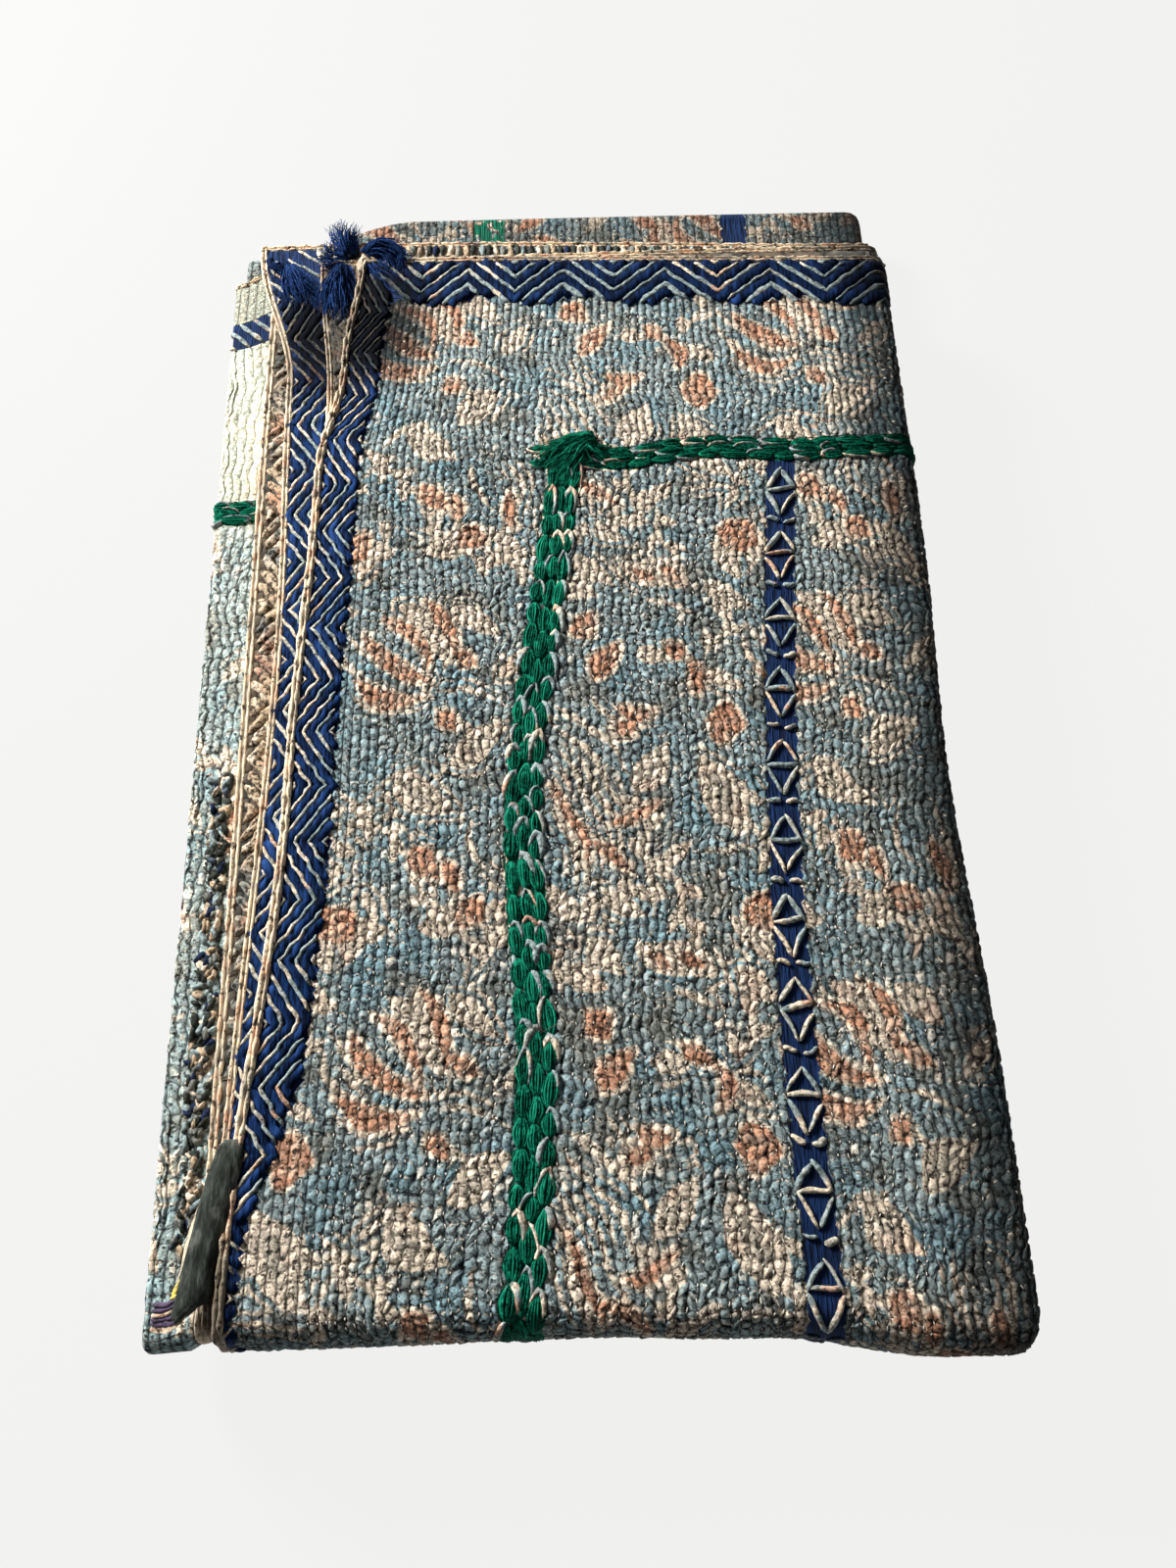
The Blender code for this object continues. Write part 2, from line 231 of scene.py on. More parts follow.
# each stroke from x, y to x, y, its width and its bend, in millimetres across and down from the flower
CREAM_STROKES = (
    (-47, -24, -8, 0, 2.6, 5), (-47, -15, -33, 5, 2.6, 3), (-43, 9, -3, 14, 2.6, 8),
    (-22, -38, 2, 0, 11, -6), (4, -38, 27, -20, 11, 0), (-2, 8, 33, 20, 2.2, -3), (2, 14, 21, 34, 2.2, 3),
    (6, 46, 31, 29, 14, -2), (-19, 49, 7, 70, 14, 3), (-47, 56, -24, 64, 2.2, 3),
    (-24, 64, -46, 89, 2.2, 4), (-10, 120, 18, 112, 9, 3), (16, 68, 26, 101, 2.4, 6),
    (30, 69, 35, 105, 2.4, -5), (51, 18, 87, 58, 2.6, -5), (50, 24, 84, 75, 2.2, -4),
    (50, 34, 78, 92, 2.2, -3), (49, 51, 70, 99, 2.6, -3), (50, 66, 62, 110, 3.4, -3),
    (90, 63, 104, 36, 13, 0), (75, 38, 94, 20, 11, 0), (97, -59, 119, -41, 11, 0),
    (89, -7, 106, -3, 8, 0), (119, 45, 138, 84, 16, 2), (55, 138, 73, 149, 10, 0),
    (86, 130, 105, 143, 11, 0), (112, 90, 146, 92, 2.2, -3), (129, 119, 144, 140, 10, 0),
    (100, 98, 113, 84, 6, 0), (36, -52, 29, -78, 10, 0), (48, -86, 68, -66, 8, 3),
    (-50, -62, -26, -70, 9, 0), (63, -60, 82, -42, 9, 0), (125, -44, 146, -31, 10, 0),
    (92, -36, 120, -27, 2.4, -4), (68, 12, 104, 27, 2.4, 8), (122, 0, 140, 12, 7, 0),
    (28, 2, 45, -14, 7, 0), (-34, -124, 0, -139, 2.4, -6), (72, 106, 90, 117, 8, 2),
)  # fmt: skip
SALMON_STROKES = (
    (-36, -21, -4, 3, 7.5, 5), (-41, 3, -6, 10, 7.5, 8), (-28, -31, -7, -2, 4.5, -7),
    (-9, -38, 4, -5, 5.5, -6), (-1, 18, 6, 27, 7, 0), (6, -9, 17, -3, 7, 0), (-11, 83, 0, 98, 9, 0),
    (8, 111, 22, 119, 10, 0), (4, 91, 7, 106, 5, 0), (31, 87, 34, 109, 5, 0), (50, 56, 66, 97, 3.6, -3),
    (62, -29, 73, -18, 11, 0), (69, 5, 84, -13, 8.5, -2), (103, -13, 114, -5, 7.5, 0),
    (116, -6, 118, 15, 6, -4), (121, 28, 140, 29, 19, 0), (79, 34, 90, 25, 5, 0),
    (103, -54, 113, -46, 4.6, 0), (139, 109, 151, 124, 12, 0), (92, 134, 100, 140, 5, 0),
    (64, 83, 86, 99, 4.4, -3), (75, 75, 98, 66, 4, 3), (82, 18, 100, 21, 6, 3),
    (135, -76, 146, -62, 11, 0),
)  # fmt: skip
PETAL_OUTLINE = 2.0  # millimetres of cream round a salmon petal
ECHO_AWAY = 3.4  # how far outside a cream shape its pale echo runs, in millimetres
# where a stem starts, its heading, length, bend and how many small leaves it has
SPRIGS = (
    (92, 118, -95, 62, 3, 6), (-46, 64, 42, 58, -6, 7), (-18, 107, 24, 54, -4, 7),
    (120, -4, -62, 36, 4, 4), (14, -46, -66, 40, 4, 4), (58, -64, -24, 50, -4, 5),
    (136, 56, 74, 42, 3, 4), (-44, -48, -60, 34, 3, 3), (22, 128, 26, 44, -3, 5),
    (104, 100, 70, 34, 4, 4),
)  # fmt: skip


def length_property(name, description, default):
    return bpy.props.FloatProperty(
        name=name, description=description, default=default, min=default / 10, unit="LENGTH", precision=5
    )


class KanthaSizes(bpy.types.PropertyGroup):
    puff: length_property("Puff", "How far the cloth stands up between its stitches", 0.00145)
    ridge_width: length_property("Ridge width", "Width of the borders' cloth ridges", 0.0019)
    ridge_height: length_property("Ridge height", "How far those ridges stand over the yarn", 0.0014)
    hem_lobe: length_property("Hem roll radius", "Radius of each of the two rolls along the hem", 0.00105)
    float_length: length_property("Green float length", "Mean length of a float of the green yarn", 0.0135)
    stitch_length: length_property("Stitch length", "Length of a stitch of the pale thread", 0.0016)
    fibre_radius: length_property("Fibre radius", "Radius of a fibre of the loose yarn ends", 0.00024)


def colour_property(name, description, default):
    return bpy.props.FloatVectorProperty(
        name=name, description=description, default=default, size=3, min=0.0, max=1.0, subtype="COLOR"
    )


class KanthaColours(bpy.types.PropertyGroup):
    ground: colour_property("Slate ground", "The print's faded slate ground", (0.258, 0.322, 0.324))
    ground_teal: colour_property("Teal ground", "The bluer parts of the ground", (0.176, 0.280, 0.314))
    ground_grey: colour_property("Grey ground", "The greyer parts of the ground", (0.180, 0.186, 0.166))
    cream: colour_property("Cream leaves", "The print's cream leaves and outlines", (0.730, 0.614, 0.478))
    salmon: colour_property("Salmon petals", "The print's salmon petals", (0.535, 0.266, 0.162))
    navy: colour_property("Navy yarn", "The yarn of the borders and the straight band", (0.006, 0.024, 0.090))
    green: colour_property("Green yarn", "The yarn of the frame", (0.002, 0.130, 0.075))
    hem: colour_property("Hem cotton", "The rolled hem", (0.740, 0.618, 0.452))
    thread: colour_property("Stitching thread", "The pale running stitches", (0.780, 0.730, 0.640))
    # painted highlight: the paler colour the left roll is painted where the key light falls on it
    worn: colour_property("Pale roll", "The paler cloth of the left roll", (0.575, 0.580, 0.445))
    lining: colour_property("Lining", "The plain cotton of the back", (0.480, 0.365, 0.245))
    scrap_yellow: colour_property("Yellow scrap", "The yellow cloth under the mend", (0.760, 0.600, 0.130))
    scrap_purple: colour_property("Purple scrap", "The purple cloth under the mend", (0.120, 0.085, 0.150))
    mend: colour_property("Mend", "The charcoal cloth of the rolled mend", (0.036, 0.042, 0.036))
    floor: colour_property("Floor", "The studio floor", (0.015, 0.015, 0.015))


def sizes():
    return bpy.context.scene.kantha_sizes


def colours():
    return bpy.context.scene.kantha_colours


# ---- where the cloth lies ----


def eased(share, table):
    """The table's value at this share of the way, with an easy curve between its rows."""
    shares, values = np.array(table).T
    row = np.clip(np.searchsorted(shares, share, side="right") - 1, 0, len(shares) - 2)
    way = np.clip((share - shares[row]) / (shares[row + 1] - shares[row]), 0, 1)
    return values[row] + (values[row + 1] - values[row]) * (1 - np.cos(math.pi * way)) / 2


def smooth(low, high, value):
    """0 below low, 1 above high, and an S-shaped curve between."""
    way = np.clip((value - low) / (high - low), 0, 1)
    return way * way * (3 - 2 * way)


def waves(table, u, v, base=0.0):
    """The base with some waves over the flat cloth added to it."""
    for height, across, down, start in table:
        base = base + height * np.sin(across * u + down * v + start)
    return base


def to_edges(u, v):
    """How far a point is from the nearer side hem, and from the nearer end hem."""
    return np.minimum(u, FLAT_WIDTH - u), np.minimum(v, FLAT_LENGTH - v)


def drawn_in(u, v):
    """The flat place of a point once the uneven hems are drawn in."""
    near_left = np.clip(1 - u / HEM_REACH, 0, 1) ** 2
    near_right = np.clip(1 - (FLAT_WIDTH - u) / HEM_REACH, 0, 1) ** 2
    near_far = np.clip(1 - v / HEM_REACH, 0, 1) ** 2
    near_near = np.clip(1 - (FLAT_LENGTH - v) / HEM_REACH, 0, 1) ** 2
    along, across = v / FLAT_LENGTH, u / FLAT_WIDTH
    return (
        u + near_left * eased(along, LEFT_HEM) - near_right * eased(along, RIGHT_HEM),
        v + near_far * eased(across, FAR_HEM) - near_near * eased(across, NEAR_HEM),
    )


def squared(values):
    """A bend's sines or cosines, so that it is fuller than a half circle."""
    return np.sign(values) * np.abs(values) ** FULLNESS


def turned_under(along, height, fold, thickness):
    """Where a point lies along the axis, and how high, once this fold turns the cloth under."""
    radius = (thickness + GAP) / 2
    turn = np.clip((along - fold.line) / radius, 0, math.pi)
    beyond = np.maximum(along - fold.line - math.pi * radius, 0)
    arm = radius + height
    place = np.minimum(along, fold.line) + fold.depth * arm * squared(np.sin(turn)) - beyond
    return place, arm * squared(np.cos(turn))


def swollen(x, y):
    """How much thicker the packet is here: it swells in waves and sinks at the left and the far side."""
    wave = SWELL * np.sin(11 * x + 9 * y + 0.6) * np.cos(8 * y - 5 * x)
    left = np.clip((-0.030 - x) / SINK_REACH, 0, 1)
    far = np.clip((y - 0.140) / SINK_REACH, 0, 1)
    return 1 + wave - EDGE_SINK * (left * left + far * far)


def slipped(x, y, z):
    """How far the lower layers slide nearer, past those over them, at the far left."""
    slide = np.zeros_like(x)
    for slip in reversed(SLIPS):
        way_left = np.clip((slip.from_x - x) / slip.reach, 0, 1)
        way_far = np.clip((y - SLIP_FROM_Y) / SLIP_REACH_Y, 0, 1)
        here = slip.slide * np.sin(math.pi / 2 * way_left) ** 2 * way_far**2
        slide = np.where(z < slip.below, here, slide)
    return slide


def press(x, y):
    """How far the edges' plan shape moves a point: to the right, and nearer."""
    way_near = np.clip((FAR_HEM_Y - y) / FOLDS[-1].line, 0, 1)
    to_left = np.clip(-x / SIDE_EDGE, 0, 1) ** 2
    to_right = np.clip(x / SIDE_EDGE, 0, 1) ** 2
    dent = RIGHT_DENT * np.exp(-(((y - DENT_Y) / DENT_SPREAD) ** 2))
    push = LEFT_PRESS[0] + (LEFT_PRESS[1] - LEFT_PRESS[0]) * way_near
    return push * to_left - dent * to_right, eased(x, NEAR_FOLD) * way_near


def folded(across, down, rise):
    """A flat place once every fold is made, and its height."""
    place = [across, down]
    height, thickness = rise, CLOTH
    for fold in FOLDS:
        place[fold.axis], height = turned_under(place[fold.axis], height, fold, thickness)
        thickness = 2 * thickness + GAP
    return LEFT_HEM_X + place[ACROSS], FAR_HEM_Y - place[DOWN], height + thickness / 2


def packet(u, v, rise):
    """Where points of the flat cloth lie in the packet; rise is their height over the cloth's middle."""
    u, v, rise = np.broadcast_arrays(np.asarray(u, float), np.asarray(v, float), np.asarray(rise, float))
    across, down = drawn_in(u, v)
    x, y, z = folded(across, down, rise)
    right, nearer = press(x, y)
    x, y = x + right, y - nearer
    middle = folded(across, down, 0 * rise)[2]
    y = y - slipped(x, y, middle)
    return np.stack([x, y, z * swollen(x, y)], -1)


# ---- the lattice of the cloth ----

# start and end on the flat cloth, rows or puffs in it, steps to each, and steps where it isn't seen
Block = namedtuple("Block", "name start end count per plain")
# how wide the blocks at the hems and beside the half folds are
HEM_STRIP = 0.006
LEFT_STRIP = 0.030
RIGHT_STRIP = 0.040
END_STRIP = 0.038
INNER_STRIP = 0.028
FAR_STRIP = 0.052


def bend_span(order):
    """Where a fold's bend starts and ends on the flat cloth."""
    thickness = CLOTH
    for _ in range(order):
        thickness = 2 * thickness + GAP
    return FOLDS[order].line, FOLDS[order].line + math.pi * (thickness + GAP) / 2


def across_blocks():
    quarter, quarter_end = bend_span(2)
    half, half_end = bend_span(0)
    mirror = half + half_end
    return (
        Block("hem", 0, HEM_STRIP, 1, 4, 2),
        Block("border", HEM_STRIP, LEFT_STRIP, 6, 2, 3),
        Block("field", LEFT_STRIP, quarter, 63, 3, 21),
        Block("right_bend", quarter, quarter_end, 9, 3, 9),
        Block("inner", quarter_end, half - INNER_STRIP, 72, 2, 18),
        Block("inner_edge", half - INNER_STRIP, half, 6, 4, 2),
        Block("left_bend", half, half_end, 3, 4, 6),
        Block("inner_edge_back", half_end, half_end + INNER_STRIP, 6, 2, 2),
        Block("inner_back", half_end + INNER_STRIP, mirror - quarter_end, 16, 1, 8),
        Block("hidden_bend", mirror - quarter_end, mirror - quarter, 8, 1, 8),
        Block("outer", mirror - quarter, FLAT_WIDTH - RIGHT_STRIP, 12, 1, 6),
        Block("border_right", FLAT_WIDTH - RIGHT_STRIP, FLAT_WIDTH - HEM_STRIP, 7, 4, 4),
        Block("hem_right", FLAT_WIDTH - HEM_STRIP, FLAT_WIDTH, 1, 4, 2),
    )


def down_blocks():
    quarter, quarter_end = bend_span(3)
    half, half_end = bend_span(1)
    mirror = half + half_end
    return (
        Block("hem", 0, HEM_STRIP, 1, 4, 2),
        Block("border", HEM_STRIP, END_STRIP, 4, 3, 3),
        Block("field", END_STRIP, quarter, 88, 3, 22),
        Block("near_bend", quarter, quarter_end, 14, 3, 14),
        Block("under", quarter_end, half - FAR_STRIP, 84, 2, 21),
        Block("far_strip", half - FAR_STRIP, half, 8, 3, 4),
        Block("far_bend", half, half_end, 4, 4, 8),
        Block("under_back", half_end, mirror - quarter_end, 16, 1, 16),
        Block("hidden_bend", mirror - quarter_end, mirror - quarter, 8, 1, 8),
        Block("lower", mirror - quarter, FLAT_LENGTH - END_STRIP, 78, 2, 26),
        Block("border_near", FLAT_LENGTH - END_STRIP, FLAT_LENGTH - HEM_STRIP, 6, 2, 3),
        Block("hem_near", FLAT_LENGTH - HEM_STRIP, FLAT_LENGTH, 1, 4, 2),
    )


# steps across and down of the blocks that show more than the plain lattice
FACE_STEPS = {
    ("right_bend", "under"): (27, 84),
    ("right_bend", "far_strip"): (27, 8),
    ("inner", "far_strip"): (144, 24),
    ("inner", "far_bend"): (72, 8),
    ("inner_edge", "far_strip"): (12, 24),
    ("inner_edge", "far_bend"): (12, 16),
    ("inner_edge", "lower"): (12, 156),
    ("inner_edge", "border_near"): (12, 6),
    ("left_bend", "lower"): (12, 156),
    ("left_bend", "field"): (6, 44),
    ("left_bend", "under"): (6, 42),
    ("border_right", "lower"): (14, 78),
    ("hem_right", "lower"): (4, 78),
}
FINE_ACROSS = ("hem", "border", "field", "right_bend")
FINE_DOWN = ("hem", "border", "field", "near_bend")
LINING_STEPS = {
    ("border_right", "field"): (14, 88),
    ("hem_right", "field"): (4, 88),
    ("border", "lower"): (12, 78),
    ("hem", "lower"): (4, 78),
    ("field", "lower"): (14, 26),
}
# blocks whose puffs are in the mesh; elsewhere they are in the finish alone
QUILTED = {(a, d) for a in ("border", "field", "right_bend") for d in ("border", "field", "near_bend")}
QUILTED |= {("inner", "far_strip"), ("inner_edge", "far_strip")}
QUILTED |= {("inner_edge", "lower"), ("left_bend", "lower")}

FLOOR_CLEAR = 0.0001  # the lowest that any cloth lies
POINT_STRAY = 0.0007  # how far a lattice point strays on its own
PUFF_SUNK = 0.42  # how far the grooves lie below the solid's face, as a share of a puff's height
EDGE_ROUND = 0.0012  # how far in from a hem the cloth has its full thickness
BEND_STRETCH = 1.06  # steps longer than this share of their flat length are in a bend
PRESSED_ACROSS = 0.310  # how far across and down the print is drawn along by the pressed edges
PRESSED_DOWN = 0.530

# where the steps end within a row or a puff: the middle one is wide, so the grooves are narrow
STEP_PLACES = {1: (1,), 2: (0.5, 1), 3: (0.25, 0.75, 1), 4: (0.2, 0.5, 0.8, 1)}


class Lines:
    """The lattice lines along one axis of the flat cloth."""

    def __init__(self, blocks):
        self.blocks = blocks
        self.first = [0]
        flat = [0.0]
        count = [0.0]
        for block in blocks:
            width = (block.end - block.start) / block.count
            for k in range(block.count):
                whole = count[-1]
                for place in STEP_PLACES[block.per]:
                    flat.append(block.start + (k + place) * width)
                    count.append(whole + place)
            self.first.append(self.first[-1] + block.count * block.per)
        self.flat = np.array(flat)
        self.count = np.array(count)

    def span(self, index):
        return self.first[index], self.first[index + 1]


def true_lengths(axis, lines):
    """How far along the outer face each lattice line lies, with the bends' outer arcs in full."""
    level = np.full_like(lines, 0.25)
    pair = (lines, level) if axis == ACROSS else (level, lines)
    points = packet(*pair, CLOTH / 2)
    steps = np.linalg.norm(np.diff(points, axis=0), axis=1)
    flat_steps = np.diff(lines)
    steps = np.where(steps < BEND_STRETCH * flat_steps, flat_steps, steps)
    return np.concatenate([[0], np.cumsum(steps)])


def chance(*keys):
    """An even random number from 0 to 1 for these whole numbers, the same in every run."""
    mixed = np.zeros(np.broadcast(*keys).shape)
    for weight, key in zip((12.9898, 78.233, 37.719, 93.989), keys):
        mixed = mixed + weight * np.asarray(key, float)
    return np.mod(np.sin(mixed) * 43758.5453, 1)


def row_shift(row):
    """How far a row's puffs are set along it from the lattice's own."""
    pick = np.floor(3 * chance(row, 7))
    return np.where(pick < 1, 0.0, np.where(pick < 2, 0.25, 0.75))


# where rows stray: from and to across, from and to down, and how fast they begin to, across and down
Stray = namedtuple("Stray", "left right top bottom ease_across ease_down")
TOP_STRAY = Stray(0.036, 0.330, 0.040, 0.575, 0.030, 0.030)
ROLL_STRAY = Stray(0.642, 0.706, 1.790, 2.262, 0.008, 0.030)


def wander(u, v):
    """How far the stitched rows stray from straight lines, across and down."""
    top, roll = TOP_STRAY, ROLL_STRAY
    inside = np.clip(np.minimum(u - top.left, v - top.top) / top.ease_down, 0, 1)
    inside = inside * np.clip((top.right - u) / top.ease_across, 0, 1)
    inside = inside * np.clip((top.bottom - v) / top.ease_down, 0, 1)
    on_roll = np.clip((u - roll.left) / roll.ease_across, 0, 1)
    on_roll = on_roll * np.clip((roll.right - u) / roll.ease_across, 0, 1)
    on_roll = on_roll * np.clip((v - roll.top) / roll.ease_down, 0, 1)
    inside = inside + on_roll * np.clip((roll.bottom - v) / roll.ease_down, 0, 1)
    # the rows lean to the left towards the near corner
    lean = 0.10 * np.clip(v - 0.440, 0, 1) * np.clip(1 - u / 0.150, 0, 1)
    return inside * (waves(WANDER_ACROSS, u, v) - lean), inside * waves(WANDER_DOWN, u, v)


def green_reach(u, v):
    """How far inside the green frame a point is, below 0 outside it."""
    side, end = to_edges(u, v)
    half = waves(GREEN_WAVES, u, v, GREEN_HALF - 0.0010)
    upright = half - np.abs(side - eased(end, GREEN_LINE))
    upright = np.minimum(upright, end - eased(side, GREEN_ARM) + GREEN_HALF)
    second = np.minimum(GREEN_HALF - np.abs(side - SECOND_GREEN), end - SECOND_BAND_START)
    upright = np.maximum(upright, second)
    roll = np.where((v > FLAT_LENGTH / 2) & (np.abs(u - FOLDS[0].line) < ROLL_HALF), ROLL_GREEN, 0)
    arm = GREEN_HALF * 0.75 - np.abs(end - eased(side, GREEN_ARM) - roll)
    arm = np.minimum(arm, side - eased(end, GREEN_LINE) + GREEN_HALF)
    return np.maximum(upright, arm)


def blue_reach(u, v):
    """How far inside the straight indigo bands a point is, below 0 outside them."""
    side, end = to_edges(u, v)
    nearest = np.minimum(np.abs(side - eased(end, BLUE_LINE)), np.abs(side - SECOND_BLUE))
    return np.minimum(waves(BLUE_WAVES, u, v, BLUE_HALF) - nearest, end - BAND_START)


def left_depth(v):
    """The depth of the left border, which narrows towards the near fold."""
    loss, start, full, keeps, end = BORDER_NARROWS
    return SIDE_BORDER * (1 - loss * smooth(start, full, v) * smooth(end, keeps, v))


def far_depth(u):
    """The depth of the far border, whose inner edge is uneven."""
    return waves(FAR_WAVES, u, 0, END_BORDER - 0.0010)


def border_reach(u, v):
    """How far inside the indigo borders, or the patch on the left roll, a point is."""
    side, end = to_edges(u, v)
    side_depth = waves(SIDE_WAVES, u, v, np.where(u < 0.1, left_depth(v), SIDE_BORDER))
    plain = (v > FLAT_LENGTH / 2) & (FLAT_WIDTH - u > LAST_CORNER)
    patch = np.minimum(PATCH_HALF - np.abs(end - PATCH_END), PATCH_SIDE - np.abs(u - FOLDS[0].line))
    return np.maximum(side_depth - side, np.where(plain, patch, far_depth(u) - end))


def hem_reach(u, v):
    """How far inside the hem a point is, below 0 away from it."""
    return HEM_WIDTH - np.minimum(*to_edges(u, v))


def pale_roll_share(u, v):
    """How pale the left roll is painted, most of all far from the near corner: a painted highlight where the
    key light falls on it.
    """
    left = 1 - smooth(*PALE_EDGE, np.abs(u - FOLDS[0].line - PALE_OFFSET))
    return PALE_SHARE * left * (1 - PALE_LOSS * smooth(*PALE_END, FLAT_LENGTH - v))


def motif_reach(s, t, strokes):
    """How far inside the nearest of these strokes a point is, in millimetres."""
    best = np.full(s.shape, -20.0)
    wide, tall = 1000 * PRINT_REPEAT[0], 1000 * PRINT_REPEAT[1]
    for x0, y0, x1, y1, width, bend in strokes:
        length = math.hypot(x1 - x0, y1 - y0)
        cos, sin = (x1 - x0) / length, (y1 - y0) / length
        dx = np.mod(1000 * (s - PRINT_START[0]) - (x0 + x1 - wide) / 2, wide) - wide / 2
        dy = np.mod(1000 * (t - PRINT_START[1]) - (y0 + y1 - tall) / 2, tall) - tall / 2
        near = (np.abs(dx) < length) & (np.abs(dy) < length)
        along = dx[near] * cos + dy[near] * sin
        aside = dy[near] * cos - dx[near] * sin
        way = np.clip(2 * along / length, -1, 1)
        inside = 1 - way * way
        full = width / 2 * inside**1.1 * (1.14 - 0.30 * way)
        reach = full - np.abs(aside - bend * inside) - np.maximum(np.abs(along) - length / 2, 0)
        best[near] = np.maximum(best[near], reach)
    return best


def foliage():
    """Every cream stroke of one repeat: the leaves and rays, and the stems with their small leaves."""
    strokes = list(CREAM_STROKES)
    for x, y, heading, length, bend, leaves in SPRIGS:
        cos, sin = math.cos(math.radians(heading)), math.sin(math.radians(heading))
        strokes.append((x, y, x + cos * length, y + sin * length, 2.3, bend))
        for k in range(leaves):
            way = (k + 0.8) / (leaves + 0.4)
            along, aside = way * length, bend * (1 - (2 * way - 1) ** 2)
            out = math.radians(heading + (44 if k % 2 else -44))
            at_x, at_y = x + cos * along - sin * aside, y + sin * along + cos * aside
            strokes.append((at_x, at_y, at_x + 12 * math.cos(out), at_y + 12 * math.sin(out), 4.8, 0))
    return strokes


def mesh_piece(name, points, quads, rings, material, layers=None):
    """A mesh from quads and other rings, with its float layers on the points, riding on the root."""
    quads = np.asarray(quads, np.int64).reshape(-1, 4)
    loops = np.concatenate([quads.ravel()] + [np.asarray(ring) for ring in rings]).astype(np.int32)
    sizes_of = np.concatenate([np.full(len(quads), 4), [len(ring) for ring in rings]]).astype(np.int32)
    starts = np.concatenate([[0], np.cumsum(sizes_of)[:-1]]).astype(np.int32)
    mesh = bpy.data.meshes.new(name)
    mesh.vertices.add(len(points))
    points = np.array(points, np.float32)
    points[:, 2] = np.maximum(points[:, 2], FLOOR_CLEAR)
    mesh.vertices.foreach_set("co", points.ravel())
    mesh.loops.add(len(loops))
    mesh.loops.foreach_set("vertex_index", loops)
    mesh.polygons.add(len(sizes_of))
    mesh.polygons.foreach_set("loop_start", starts)
    mesh.polygons.foreach_set("use_smooth", np.ones(len(sizes_of), bool))
    mesh.update(calc_edges=True)
    for layer, values in (layers or {}).items():
        attribute = mesh.attributes.new(layer, "FLOAT", "POINT")
        attribute.data.foreach_set("value", np.asarray(values, np.float32))
    mesh.validate()
    mesh.materials.append(material)
    piece = bpy.data.objects.new(name, mesh)
    bpy.context.scene.collection.objects.link(piece)
    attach(piece, "root")
    return piece


class Puffs:
    """The stitched puffs that some points lie in, by row and number, and the points' places within them."""

    def __init__(self, row, puff):
        self.row = np.floor(row + 1e-6)
        self.across_count, self.along_count = row, puff + row_shift(self.row)
        self.puff = np.floor(self.along_count + 1e-6)
        self.across, self.along = row - self.row, self.along_count - self.puff

    def own(self, key):
        """A random number from 0 to 1 that each puff has for itself."""
        return chance(self.row, self.puff, key)

    def height(self, u, v):
        """How far the puffs stand up, lower where the bands are and on the pale roll."""
        rib = np.abs(np.sin(math.pi * self.across)) ** 0.5
        rib = np.where(self.across < 0.1, np.where(self.own(19) < 0.16, 0.55, 0), rib)
        # the share of the height that stays where two puffs of a row meet
        parted = 1 + 1.5 * smooth(0.06, 0.16, v) + 2.5 * smooth(0.10, 0.20, u)
        pinch = 0.02 + 0.75 * self.own(9) ** (1 + parted)
        pinch = np.where(pale_roll_share(u, v) > 0.5, 0.55 + 0.4 * self.own(9), pinch)
        bead = np.where(self.along < 0.1, pinch, 0.9 + 0.1 * np.sin(math.pi * self.along))
        lean = 1 + 0.7 * (self.own(3) - 0.5) * np.cos(math.pi * self.across)
        full = (0.60 + 0.65 * self.own(1)) * (1 - 0.25 * smooth(0.12, 0.30, u))
        full = full * (1 - 0.6 * pale_roll_share(u, v))
        bare = 1 - smooth(-0.0012, 0.0004, np.maximum(green_reach(u, v), blue_reach(u, v)))
        bare = bare * (1 - smooth(-0.0030, -0.0005, border_reach(u, v)))
        return sizes().puff * (rib * bead * lean * full * bare - PUFF_SUNK)


